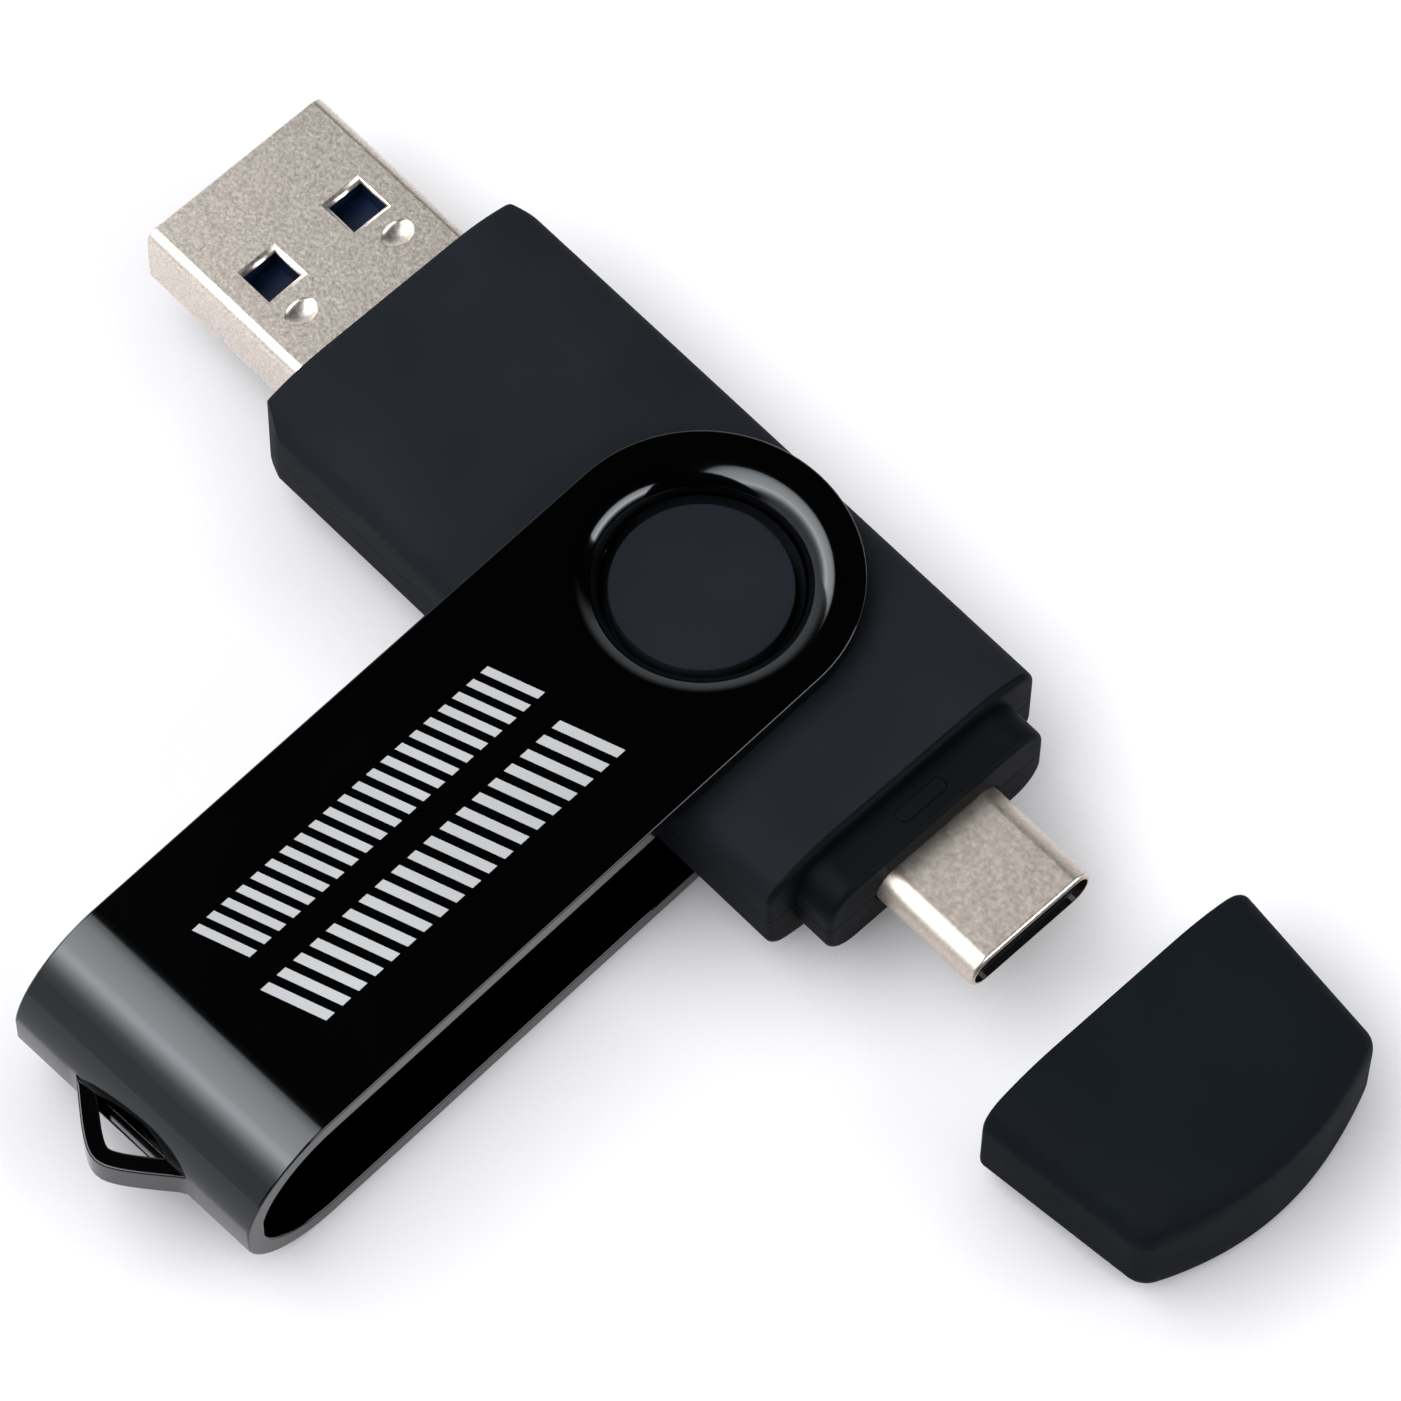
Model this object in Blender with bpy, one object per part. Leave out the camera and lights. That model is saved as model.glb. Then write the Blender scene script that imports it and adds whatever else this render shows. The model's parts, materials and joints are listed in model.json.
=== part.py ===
"""Swivel USB flash drive: a two-plug body, a turning metal clip and a loose plug cap.

Lengths below are millimetres; each finished mesh is scaled to metres at the end.
X runs along the body from the USB-A plug to the USB-C plug, Z is up from the table,
and the swivel axis stands at X = 0, Y = 0 until the whole drive is centred.
"""
import math

import bmesh
import bpy
from mathutils import Vector

# ---- body ----
MID_Z = 5.1                # height of the parting plane and of both plugs' centre lines
PARTING = 0.03             # half of the seam left between the two shells
BODY_FRONT = -22.8         # face the USB-A plug comes out of
BODY_BACK = 14.35          # shoulder the cap closes against
BODY_HALF_W = 9.06
BODY_HALF_H = 3.85
BODY_EDGE = 1.6            # rounding along the body's sides
CROWN_START = 4.5          # half width of the flat middle; outside it the face falls away
CROWN_R = 10.7
BODY_END_EDGE = 0.35       # rounding around the end faces
CORNER_CUT_Y = 0.85        # upright corner chamfer at the USB-A end
CORNER_CUT_X = 1.7
WALL = 1.25
PLUG_GAP = 0.1             # room around each plug where it leaves the body
NECK = 0.03                # how far a plug's shell is necked down where the body holds it
NECK_LEAD = 0.2            # the neck starts this far outside the body
NOSE_TIP = 16.75           # end of the step the cap fits over
SHOULDER_DRAFT = 0.02      # the shoulder leans back this much from edge to nose
NOSE_HALF_W = 7.35
NOSE_HALF_H = 2.9
NOSE_EDGE = 1.9
DETENT_X = 15.5
DETENT_HALF_L = 1.6
DETENT_HALF_W = 0.42
DETENT_RISE = 0.12
BOSS_R = 4.66              # round boss the clip turns about
GROOVE_R = 6.4             # floor radius of the ring groove around the boss
GROOVE_RIM_R = 7.4
GROOVE_FLOOR = 2.45        # height of the groove floor above the parting plane
PAD_R = 7.7                # thickened pad behind the groove
PAD_FLOOR = 1.9

# ---- clip ----
SHEET = 1.1                # clip sheet thickness
CLIP_HALF_W = 8.1
CLIP_ANGLE = -88.2         # degrees from +X, seen from above
BEND_START = 33.5          # swivel axis to where the end bend starts
BEND_R = 5.1               # half the clip's height, outside
BEND_REACH = 5.8           # how far the end bend runs on from where it starts
EYE_R = 6.7                # where the sheet starts to turn down into the eye
EYE_FOLD_R = 1.6           # outer radius of that turn
EYE_SLOPE = 75.0           # degrees the sheet has turned by at its rim
EYE_HOLE_R = 5.1           # open radius inside the rim
RING_FRONT = 9.5           # end of the patch laid out around each eye
LOOP_HALF_SPAN = 3.8       # cord loop, pushed out of the bend between two slits
LOOP_HALF_H = 0.95
LOOP_REACH = 2.45
LOOP_ROUND = 1.1
LOOP_SHEET = 0.95

# ---- cap ----
CAP_OPEN = 29.2
CAP_END = 41.1
CAP_Y = -0.3               # where the loose cap happens to lie
CAP_HALF_H = 3.735
CAP_HALF_W_OPEN = 9.06
CAP_HALF_W_END = 8.15
CAP_END_EDGE = 0.9
CAP_END_SAG = 1.84         # bulge of the closed end
CAP_CORNER = 1.3           # plan rounding between a side and the closed end
CAP_ROOM = 0.3             # clearance over the nose
CAP_DEPTH = 9.6
CAP_SEAT = 3.2             # straight part of the hollow, which takes the nose
CAP_NARROWS = 0.7          # how much the hollow narrows on each side beyond the seat

# ---- USB-A plug ----
USB_A_FRONT = -34.3
USB_A_BACK = -20.2
USB_A_HALF_W = 6.0
USB_A_HALF_H = 2.25
USB_A_EDGE = 0.65
USB_A_WALL = 0.3
WINDOW_X = (-29.2, -27.3)
WINDOW_Y = (1.85, 4.05)
DIMPLE_X = -25.64
DIMPLE_Y = 3.3
TONGUE_H = 1.85
TONGUE_HALF_W = 5.55
TONGUE_ROOF = MID_Z + USB_A_HALF_H - USB_A_WALL - 0.05
TONGUE_FLOOR = TONGUE_ROOF - TONGUE_H
TONGUE_STEP_X = -27.0      # the tongue is thicker behind this
TONGUE_STEP = 0.4
PIN_T = 0.12               # thickness of every contact
FRONT_PIN_Y = (-3.5, -1.0, 1.0, 3.5)
REAR_PIN_Y = (-4.0, -2.0, 0.0, 2.0, 4.0)

# ---- USB-C plug ----
USB_C_TIP = 23.34
USB_C_BACK = 11.4
USB_C_HALF_W = 4.125
USB_C_HALF_H = 1.2
USB_C_WALL = 0.2
USB_C_PITCH = 0.5
USB_C_PINS = 12
SLOT_HALF_W = 3.5
SLOT_HALF_H = 0.58

# ---- electronics ----
BOARD_FRONT = -20.0
BOARD_BACK = 10.4
BOARD_HALF_W = 7.3
BOARD_HALF_T = 0.4
POST_X = (-16.0, 11.0)     # places where the shells pinch the board

MM = 0.001
WELD = 0.00005


# ---- materials ----
def material(name, colour, roughness, metallic):
    made = bpy.data.materials.new(name)
    made.use_nodes = True
    shader = made.node_tree.nodes["Principled BSDF"]
    shader.inputs["Base Color"].default_value = (*colour, 1.0)
    shader.inputs["Roughness"].default_value = roughness
    shader.inputs["Metallic"].default_value = metallic
    made.diffuse_color = (*colour, 1.0)
    return made


# ---- mesh helpers ----
def make_object(name, shape, finish=None):
    bmesh.ops.recalc_face_normals(shape, faces=shape.faces)
    mesh = bpy.data.meshes.new(name)
    shape.to_mesh(mesh)
    shape.free()
    made = bpy.data.objects.new(name, mesh)
    bpy.context.scene.collection.objects.link(made)
    if finish is not None:
        mesh.materials.append(finish)
    return made


def loft(name, rings, finish=None, closed=False):
    """Skin through rings of matching points; a closed loft joins the last ring to the first."""
    shape = bmesh.new()
    rows = [[shape.verts.new(point) for point in ring] for ring in rings]
    count = len(rows[0])
    pairs = list(zip(rows, rows[1:]))
    if closed:
        pairs.append((rows[-1], rows[0]))
    else:
        shape.faces.new(rows[0])
        shape.faces.new(rows[-1])
    for near, far in pairs:
        for i in range(count):
            j = (i + 1) % count
            shape.faces.new((near[i], near[j], far[j], far[i]))
    return make_object(name, shape, finish)


def box(name, low, high, finish=None):
    base = ((low[0], low[1]), (high[0], low[1]), (high[0], high[1]), (low[0], high[1]))
    rings = [[(x, y, z) for x, y in base] for z in (low[2], high[2])]
    return loft(name, rings, finish)


def turned(name, profile, segments):
    """Turn a closed (radius, height) profile about the swivel axis."""
    rings = []
    for k in range(segments):
        turn = 2.0 * math.pi * k / segments
        rings.append([(r * math.cos(turn), r * math.sin(turn), z) for r, z in profile])
    return loft(name, rings, closed=True)


def disc(name, radius, low, high, segments):
    turns = [2.0 * math.pi * k / segments for k in range(segments)]
    rings = [[(radius * math.cos(t), radius * math.sin(t), z) for t in turns] for z in (low, high)]
    return loft(name, rings)


def combine(target, tool, operation):
    """Apply one exact Boolean to the target and drop the tool."""
    step = target.modifiers.new("step", "BOOLEAN")
    step.operation = operation
    step.solver = "EXACT"
    step.object = tool
    bpy.context.view_layer.update()
    result = bpy.data.meshes.new_from_object(target.evaluated_get(bpy.context.evaluated_depsgraph_get()))
    target.modifiers.clear()
    old = target.data
    result.name = old.name
    target.data = result
    bpy.data.meshes.remove(old)
    bpy.data.objects.remove(tool)
    return target


def cut(target, tool):
    return combine(target, tool, "DIFFERENCE")


def join(target, tool):
    return combine(target, tool, "UNION")


def corner(centre_a, centre_b, radius, start, steps):
    """Quarter arc of (a, b) points, counter-clockwise from the start angle in degrees."""
    turns = [math.radians(start + 90.0 * k / steps) for k in range(steps + 1)]
    return [(centre_a + radius * math.cos(t), centre_b + radius * math.sin(t)) for t in turns]


def rounded_rect(half_a, half_b, radius, steps):
    inner_a = half_a - radius
    inner_b = half_b - radius
    points = []
    for side_a, side_b, start in ((1, 1, 0), (-1, 1, 90), (-1, -1, 180), (1, -1, 270)):
        points += corner(side_a * inner_a, side_b * inner_b, radius, start, steps)
    merged = []
    for point in points:
        if not merged or math.dist(point, merged[-1]) > 1e-6:
            merged.append(point)
    if math.dist(merged[0], merged[-1]) < 1e-6:
        merged.pop()
    return merged


def crowned_half(half_a, half_b, inset, steps, floor):
    """Upper half of the body's section: upright sides, rounded edges and a gently crowned face.

    The section is drawn inset by a constant distance, and closed along the line b = floor.
    """
    fall = math.asin((half_a - BODY_EDGE - CROWN_START) / (CROWN_R - BODY_EDGE))
    crown_b = half_b - CROWN_R
    edge_b = crown_b + (CROWN_R - BODY_EDGE) * math.cos(fall)
    quarter = []
    for k in range(steps + 1):
        turn = (math.pi / 2 - fall) * k / steps
        edge = BODY_EDGE - inset
        quarter.append((half_a - BODY_EDGE + edge * math.cos(turn), edge_b + edge * math.sin(turn)))
    for k in range(1, 4):
        turn = fall * (1 - k / 3)
        crown = CROWN_R - inset
        quarter.append((CROWN_START + crown * math.sin(turn), crown_b + crown * math.cos(turn)))
    points = [(half_a - inset, floor)] + quarter
    return points + [(-a, b) for a, b in reversed(points)]


def half_rounded_rect(half_a, half_b, radius, steps, floor):
    """Upper half of a rounded rectangle, closed along the line b = floor."""
    points = [(half_a, floor)]
    points += corner(half_a - radius, half_b - radius, radius, 0, steps)
    points += corner(radius - half_a, half_b - radius, radius, 90, steps)
    points.append((-half_a, floor))
    return points


def across(x, outline, side=1):
    """Stand an outline of (y, height above the parting plane) up at station x."""
    return [(x, a, MID_Z + side * b) for a, b in outline]


def bar(name, start, end, half_w, half_h, radius, steps, finish=None):
    outline = rounded_rect(half_w, half_h, radius, steps)
    return loft(name, [across(start, outline), across(end, outline)], finish)


def tube(name, start, end, half_w, half_h, radius, wall, steps, leaves, finish):
    """Folded or drawn shell, open at both ends, with an eased outer edge at the start.

    It is necked down very slightly from the place where it enters the body.
    """
    ease = 0.4 * wall
    toward = 1.0 if end > start else -1.0
    inner = rounded_rect(half_w - wall, half_h - wall, max(radius - wall, 0.05), steps)
    outer = rounded_rect(half_w, half_h, radius, steps)
    lip = rounded_rect(half_w - ease, half_h - ease, radius - ease, steps)
    rings = [across(start, lip), across(start + toward * ease, outer)]
    neck = rounded_rect(half_w - NECK, half_h - NECK, radius - NECK, steps)
    rings += [across(leaves, outer), across(leaves + toward * 2 * NECK, neck), across(end, neck)]
    rings += [across(end, inner), across(start, inner)]
    return loft(name, rings, finish, closed=True)


# ---- body shells ----
def body_rings(side):
    """Rings of points along one shell, from the USB-A end to the tip of the nose."""
    turns = [math.radians(30.0 * k) for k in range(4)]
    rounding = [(BODY_END_EDGE * (1 - math.cos(t)), BODY_END_EDGE * (1 - math.sin(t))) for t in turns]
    rings = []
    for along, inset in rounding:
        outline = crowned_half(BODY_HALF_W, BODY_HALF_H, inset, 5, PARTING)
        rings.append(across(BODY_FRONT + along, outline, side))
    for along, inset in reversed(rounding):
        outline = crowned_half(BODY_HALF_W, BODY_HALF_H, inset, 5, PARTING)
        rings.append(across(BODY_BACK - along, outline, side))
    stations = [(BODY_BACK + SHOULDER_DRAFT, 0.0)]
    stations += [(NOSE_TIP - along, inset) for along, inset in reversed(rounding)]
    for x, inset in stations:
        outline = half_rounded_rect(NOSE_HALF_W - inset, NOSE_HALF_H - inset, NOSE_EDGE - inset, 8, PARTING)
        rings.append(across(x, outline, side))
    return rings


def corner_cutter(side_y):
    """Upright wedge that takes off one corner at the USB-A end."""
    slope = CORNER_CUT_Y / CORNER_CUT_X
    start = BODY_FRONT - 1.0
    end = BODY_FRONT + CORNER_CUT_X + 1.0
    start_y = BODY_HALF_W - CORNER_CUT_Y - slope
    end_y = BODY_HALF_W + slope
    base = [(start, start_y), (end, end_y), (end, end_y + 3.0), (start, end_y + 3.0)]
    heights = (MID_Z - BODY_HALF_H - 1.0, MID_Z + BODY_HALF_H + 1.0)
    return loft("corner", [[(x, side_y * y, z) for x, y in base] for z in heights])


def body_cavity():
    """Space for the board, left clear of the boss pads and of the board posts."""
    room = bar("cavity", BODY_FRONT + WALL, BODY_BACK - WALL, BODY_HALF_W - WALL, BODY_HALF_H - WALL, 1.6, 4)
    for side in (1, -1):
        low, high = sorted((MID_Z + side * PAD_FLOOR, MID_Z + side * (BODY_HALF_H + 1)))
        room = cut(room, disc("pad", PAD_R, low, high, 40))
        low, high = sorted((MID_Z + side * (BOARD_HALF_T + 0.04), MID_Z + side * (BODY_HALF_H + 1)))
        for x in POST_X:
            for y in (-1, 1):
                near, far = sorted((y * (BOARD_HALF_W - 0.7), y * (BODY_HALF_W + 1)))
                room = cut(room, box("post", (x - 0.6, near, low), (x + 0.6, far, high)))
    return room


def body_shell(name, side, finish):
    shell = loft(name, body_rings(side), finish)
    for side_y in (1, -1):
        shell = cut(shell, corner_cutter(side_y))
    shell = cut(shell, body_cavity())
    groove = ((BOSS_R - 0.15, BODY_HALF_H + 0.5), (BOSS_R - 0.15, BODY_HALF_H + 0.02),
              (BOSS_R, BODY_HALF_H - 0.15), (BOSS_R, GROOVE_FLOOR), (GROOVE_R, GROOVE_FLOOR),
              (GROOVE_R + 0.15, GROOVE_FLOOR + 0.35), (GROOVE_RIM_R, BODY_HALF_H + 0.02),
              (GROOVE_RIM_R, BODY_HALF_H + 0.5))
    shell = cut(shell, turned("groove", [(r, MID_Z + side * h) for r, h in groove], 48))
    mouth = bar("mouth", BODY_FRONT - 1, BODY_FRONT + WALL + 0.3,
                USB_A_HALF_W + PLUG_GAP, USB_A_HALF_H + PLUG_GAP, USB_A_EDGE + PLUG_GAP, 3)
    shell = cut(shell, mouth)
    throat = bar("throat", BODY_BACK - WALL - 0.3, NOSE_TIP + 1,
                 USB_C_HALF_W + PLUG_GAP, USB_C_HALF_H + PLUG_GAP, USB_C_HALF_H + PLUG_GAP, 5)
    shell = cut(shell, throat)
    pill = []
    rises = ((-0.2, 0.0), (0.04, 0.0), (DETENT_RISE, 0.1))
    for height, inset in [(NOSE_HALF_H + rise, inset) for rise, inset in rises]:
        outline = rounded_rect(DETENT_HALF_W - inset, DETENT_HALF_L - inset, DETENT_HALF_W - inset - 0.02, 4)
        pill.append([(DETENT_X + a, b, MID_Z + side * height) for a, b in outline])
    return join(shell, loft("detent", pill))


# ---- swivel clip ----
def eye_profile():
    """Dished eye, from its rim inward: (outer radius, outer height), (inner radius, inner height)."""
    top = 2.0 * BEND_R
    slope = math.radians(EYE_SLOPE)
    steps = 5
    rows = []
    for k in range(1, steps + 1):
        t = slope * k / steps
        rows.append(((EYE_R - EYE_FOLD_R * math.sin(t), top - EYE_FOLD_R * (1 - math.cos(t))),
                     (EYE_R - (EYE_FOLD_R - SHEET) * math.sin(t),
                      top - SHEET - (EYE_FOLD_R - SHEET) * (1 - math.cos(t)))))
    (outer_r, outer_z), (inner_r, inner_z) = rows[-1]
    run = outer_r - EYE_HOLE_R
    drop = run * math.tan(slope)
    rows.append(((EYE_HOLE_R, outer_z - drop), (inner_r - run, inner_z - drop)))
    return rows


def loop_offset(v):
    """How far the cord loop stands out of the bend wall at lateral position v."""
    soft = math.hypot(v, LOOP_ROUND) - LOOP_ROUND
    full = math.hypot(LOOP_HALF_SPAN, LOOP_ROUND) - LOOP_ROUND
    return LOOP_REACH * (1.0 - soft / full)


def clip_lines():
    """Lateral positions of the lines that run the whole length of the sheet."""
    inside = [LOOP_HALF_SPAN * k / 5.0 for k in range(-5, 6)]
    outside = 0.5 * (CLIP_HALF_W + LOOP_HALF_SPAN)
    return [-CLIP_HALF_W, -outside] + inside + [outside, CLIP_HALF_W]


def swivel_clip(finish):
    """One bent sheet, built as matching points on its outer and inner skins."""
    skins = []
    faces = []

    def spot(outer, inner):
        skins.append((outer, inner))
        return len(skins) - 1

    def patch(near, far, ring=False):
        last = len(near) if ring else len(near) - 1
        for i in range(last):
            j = (i + 1) % len(near)
            faces.append((near[i], near[j], far[j], far[i]))

    lines = clip_lines()
    arm_ends = []
    for side in (1, -1):
        rim = [(RING_FRONT, v) for v in lines]
        first = math.atan2(CLIP_HALF_W, RING_FRONT)
        for k in range(1, 6):
            turn = first + (math.pi / 2 - first) * k / 6
            rim.append((CLIP_HALF_W / math.tan(turn), CLIP_HALF_W))
        for k in range(21):
            turn = math.pi / 2 + math.pi * k / 20
            rim.append((CLIP_HALF_W * math.cos(turn), CLIP_HALF_W * math.sin(turn)))
        for k in range(5, 0, -1):
            turn = first + (math.pi / 2 - first) * k / 6
            rim.append((CLIP_HALF_W / math.tan(turn), -CLIP_HALF_W))
        turns = [math.atan2(v, u) for u, v in rim]
        outer_rim = [spot((u, v, side * BEND_R), (u, v, side * (BEND_R - SHEET))) for u, v in rim]
        rows = [((EYE_R, 2 * BEND_R), (EYE_R, 2 * BEND_R - SHEET))] + eye_profile()
        near = outer_rim
        for (outer_r, outer_z), (inner_r, inner_z) in rows:
            far = []
            for t in turns:
                far.append(spot((outer_r * math.cos(t), outer_r * math.sin(t), side * (outer_z - BEND_R)),
                                (inner_r * math.cos(t), inner_r * math.sin(t), side * (inner_z - BEND_R))))
            patch(near, far, ring=True)
            near = far
        arm_ends.append(outer_rim[:len(lines)])

    # the arms run on into the bend; the two slits of the cord loop fall on two of its stations
    slit = math.asin(LOOP_HALF_H / BEND_R)
    turns = [math.pi / 2 - (math.pi / 2 - slit) * k / 7 for k in range(8)]
    turns += [-t for t in reversed(turns)]
    bend = []
    for t in turns:
        row = []
        for v in lines:
            outer = (BEND_START + BEND_REACH * math.cos(t), v, BEND_R * math.sin(t))
            inner = (BEND_START + (BEND_REACH - SHEET) * math.cos(t), v, (BEND_R - SHEET) * math.sin(t))
            row.append(spot(outer, inner))
        bend.append(row)
    patch(arm_ends[0], bend[0])
    for k in range(len(bend) - 1):
        if k != 7:
            patch(bend[k], bend[k + 1])
    patch(bend[-1], arm_ends[1])
    left = lines.index(-LOOP_HALF_SPAN)
    right = lines.index(LOOP_HALF_SPAN)
    patch(bend[7][:left + 1], bend[8][:left + 1])
    patch(bend[7][right:], bend[8][right:])

    # the cord loop itself
    wall = BEND_START + BEND_REACH * math.cos(slit)
    upper = [bend[7][left]]
    lower = [bend[8][left]]
    for v in lines[left + 1:right]:
        u = wall + loop_offset(v)
        slope = (loop_offset(v + 0.01) - loop_offset(v - 0.01)) / 0.02
        length = math.hypot(1.0, slope)
        inner_u = u - LOOP_SHEET / length
        inner_v = v + LOOP_SHEET * slope / length
        upper.append(spot((u, v, LOOP_HALF_H), (inner_u, inner_v, LOOP_HALF_H)))
        lower.append(spot((u, v, -LOOP_HALF_H), (inner_u, inner_v, -LOOP_HALF_H)))
    upper.append(bend[7][right])
    lower.append(bend[8][right])
    patch(upper, lower)

    # close the sheet's edges wherever only one face meets them
    shape = bmesh.new()
    heading = math.radians(CLIP_ANGLE)
    ahead = Vector((math.cos(heading), math.sin(heading), 0.0))
    beside = Vector((-math.sin(heading), math.cos(heading), 0.0))

    def place(point):
        u, v, z = point
        return u * ahead + v * beside + Vector((0.0, 0.0, MID_Z + z))

    outer = [shape.verts.new(place(skin[0])) for skin in skins]
    inner = [shape.verts.new(place(skin[1])) for skin in skins]
    used = {}
    for face in faces:
        shape.faces.new([outer[i] for i in face])
        shape.faces.new([inner[i] for i in reversed(face)])
        for a, b in zip(face, face[1:] + face[:1]):
            used.setdefault(frozenset((a, b)), []).append((a, b))
    for sides in used.values():
        if len(sides) == 1:
            a, b = sides[0]
            shape.faces.new((outer[b], outer[a], inner[a], inner[b]))
    return make_object("swivel_clip", shape, finish)


# ---- cap ----
def cap_outline(side_inset, end_inset):
    """Plan outline: straight mouth, tapering sides and a bulged closed end."""
    half_open = CAP_HALF_W_OPEN - side_inset
    half_end = CAP_HALF_W_END - side_inset
    tip = CAP_END - end_inset
    sag = CAP_END_SAG
    radius = (half_end * half_end + sag * sag) / (2.0 * sag)
    centre = tip - radius
    fillet = max(CAP_CORNER - 0.2 * side_inset, 0.5)
    corner_y = half_end - fillet
    corner_x = centre + math.sqrt((radius - fillet) ** 2 - corner_y ** 2)
    sweep = math.atan2(corner_y, corner_x - centre)
    points = [(CAP_OPEN, -half_open)]
    upper = []
    for k in range(5):
        turn = sweep * k / 4
        upper.append((centre + radius * math.cos(turn), radius * math.sin(turn)))
    for k in range(1, 4):
        turn = sweep + (math.pi / 2 - sweep) * k / 3
        upper.append((corner_x + fillet * math.cos(turn), corner_y + fillet * math.sin(turn)))
    points += [(x, -y) for x, y in reversed(upper[1:])]
    points += upper
    points.append((CAP_OPEN, half_open))
    return points


def cap(finish):
    section = crowned_half(CAP_HALF_W_OPEN, CAP_HALF_H, 0.0, 5, 0.0)
    quarter = section[1:len(section) // 2]
    levels = [(height, CAP_HALF_W_OPEN - half_w) for half_w, height in quarter]
    heights = [(-h, inset) for h, inset in reversed(levels)] + levels
    rings = []
    for height, inset in heights:
        past = max(abs(height) - (CAP_HALF_H - CAP_END_EDGE), 0.0)
        end_inset = CAP_END_EDGE - math.sqrt(max(CAP_END_EDGE ** 2 - past ** 2, 0.0))
        rings.append([(x, y + CAP_Y, CAP_HALF_H + height) for x, y in cap_outline(inset, end_inset)])
    body = loft("usb_c_cap", rings, finish)
    room = rounded_rect(NOSE_HALF_W + CAP_ROOM, NOSE_HALF_H + CAP_ROOM, NOSE_EDGE + CAP_ROOM, 5)
    hollow = []
    for x, narrower in ((-1.0, 0.0), (CAP_SEAT, 0.0), (CAP_DEPTH, CAP_NARROWS)):
        squeeze = 1.0 - narrower / (NOSE_HALF_W + CAP_ROOM)
        hollow.append([(CAP_OPEN + x, a * squeeze + CAP_Y, CAP_HALF_H + b) for a, b in room])
    return cut(body, loft("hollow", hollow))


# ---- USB-A plug ----
def usb_a_shell(finish):
    shell = tube("usb_a_shell", USB_A_FRONT, USB_A_BACK, USB_A_HALF_W, USB_A_HALF_H,
                 USB_A_EDGE, USB_A_WALL, 4, BODY_FRONT - NECK_LEAD, finish)
    for y in (1, -1):
        near, far = sorted((y * WINDOW_Y[0], y * WINDOW_Y[1]))
        low = (WINDOW_X[0], near, MID_Z - USB_A_HALF_H - 1)
        high = (WINDOW_X[1], far, MID_Z + USB_A_HALF_H + 1)
        shell = cut(shell, box("window", low, high))
        dimple = []
        for height, inset in ((USB_A_HALF_H - 0.14, 0.12), (USB_A_HALF_H + 0.1, 0.0)):
            outline = rounded_rect(0.6 - inset, 0.9 - inset, 0.58 - inset, 3)
            dimple.append([(DIMPLE_X + a, y * DIMPLE_Y + b, MID_Z + height) for a, b in outline])
        shell = cut(shell, loft("dimple", dimple))
    return shell


def usb_a_tongue(finish):
    """Insulator against the upper wall, pocketed under the windows and stepped down at the rear."""
    front = USB_A_FRONT + 0.4
    back = USB_A_BACK - 0.6
    ease = 0.3
    side = ((front + ease, TONGUE_FLOOR), (TONGUE_STEP_X, TONGUE_FLOOR),
            (TONGUE_STEP_X + TONGUE_STEP, TONGUE_FLOOR - TONGUE_STEP), (back, TONGUE_FLOOR - TONGUE_STEP),
            (back, TONGUE_ROOF), (front, TONGUE_ROOF), (front, TONGUE_FLOOR + ease))
    rings = [[(x, y, z) for x, z in side] for y in (-TONGUE_HALF_W, TONGUE_HALF_W)]
    tongue = loft("usb_a_tongue", rings, finish)
    for y in (1, -1):
        near, far = sorted((y * (WINDOW_Y[0] - 0.1), y * (WINDOW_Y[1] + 0.1)))
        low = (WINDOW_X[0] - 0.1, near, TONGUE_ROOF - 1.25)
        high = (WINDOW_X[1] + 0.1, far, TONGUE_ROOF + 1)
        tongue = cut(tongue, box("pocket", low, high))
    for y in FRONT_PIN_Y:
        low = (TONGUE_STEP_X - 1, y - 0.54, TONGUE_FLOOR - 0.21)
        high = (back + 1, y + 0.54, TONGUE_FLOOR - 0.01)
        tongue = cut(tongue, box("channel", low, high))


def bent_pin(name, path, y, width, finish):
    """Flat contact bent in the XZ plane: a path of its upper skin, thickened downward."""
    side = list(path) + [(x, z - PIN_T) for x, z in reversed(path)]
    rings = [[(x, a, z) for x, z in side] for a in (y - width / 2, y + width / 2)]
    return loft(name, rings, finish)


def usb_a_contacts(finish):
    board_top = MID_Z + BOARD_HALF_T
    for k, y in enumerate(FRONT_PIN_Y):
        top = TONGUE_FLOOR - 0.04
        lead = [(USB_A_FRONT + 0.9, top), (USB_A_BACK - 0.35, top), (USB_A_BACK + 0.05, board_top + 0.16),
                (BOARD_FRONT + 1.2, board_top + 0.16)]
        bent_pin("usb_a_contact_%d" % (k + 1), lead, y, 1.0, finish)
    for k, y in enumerate(REAR_PIN_Y):
        top = TONGUE_FLOOR - TONGUE_STEP - 0.04
        under = MID_Z - BOARD_HALF_T - 0.04
        lead = [(-26.4, top), (-24.2, top - 0.3), (-23.2, top), (USB_A_BACK - 0.35, top),
                (USB_A_BACK - 0.1, under), (BOARD_FRONT + 1.2, under)]
        bent_pin("usb_a_rear_contact_%d" % (k + 1), lead, y, 0.6, finish)


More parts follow.
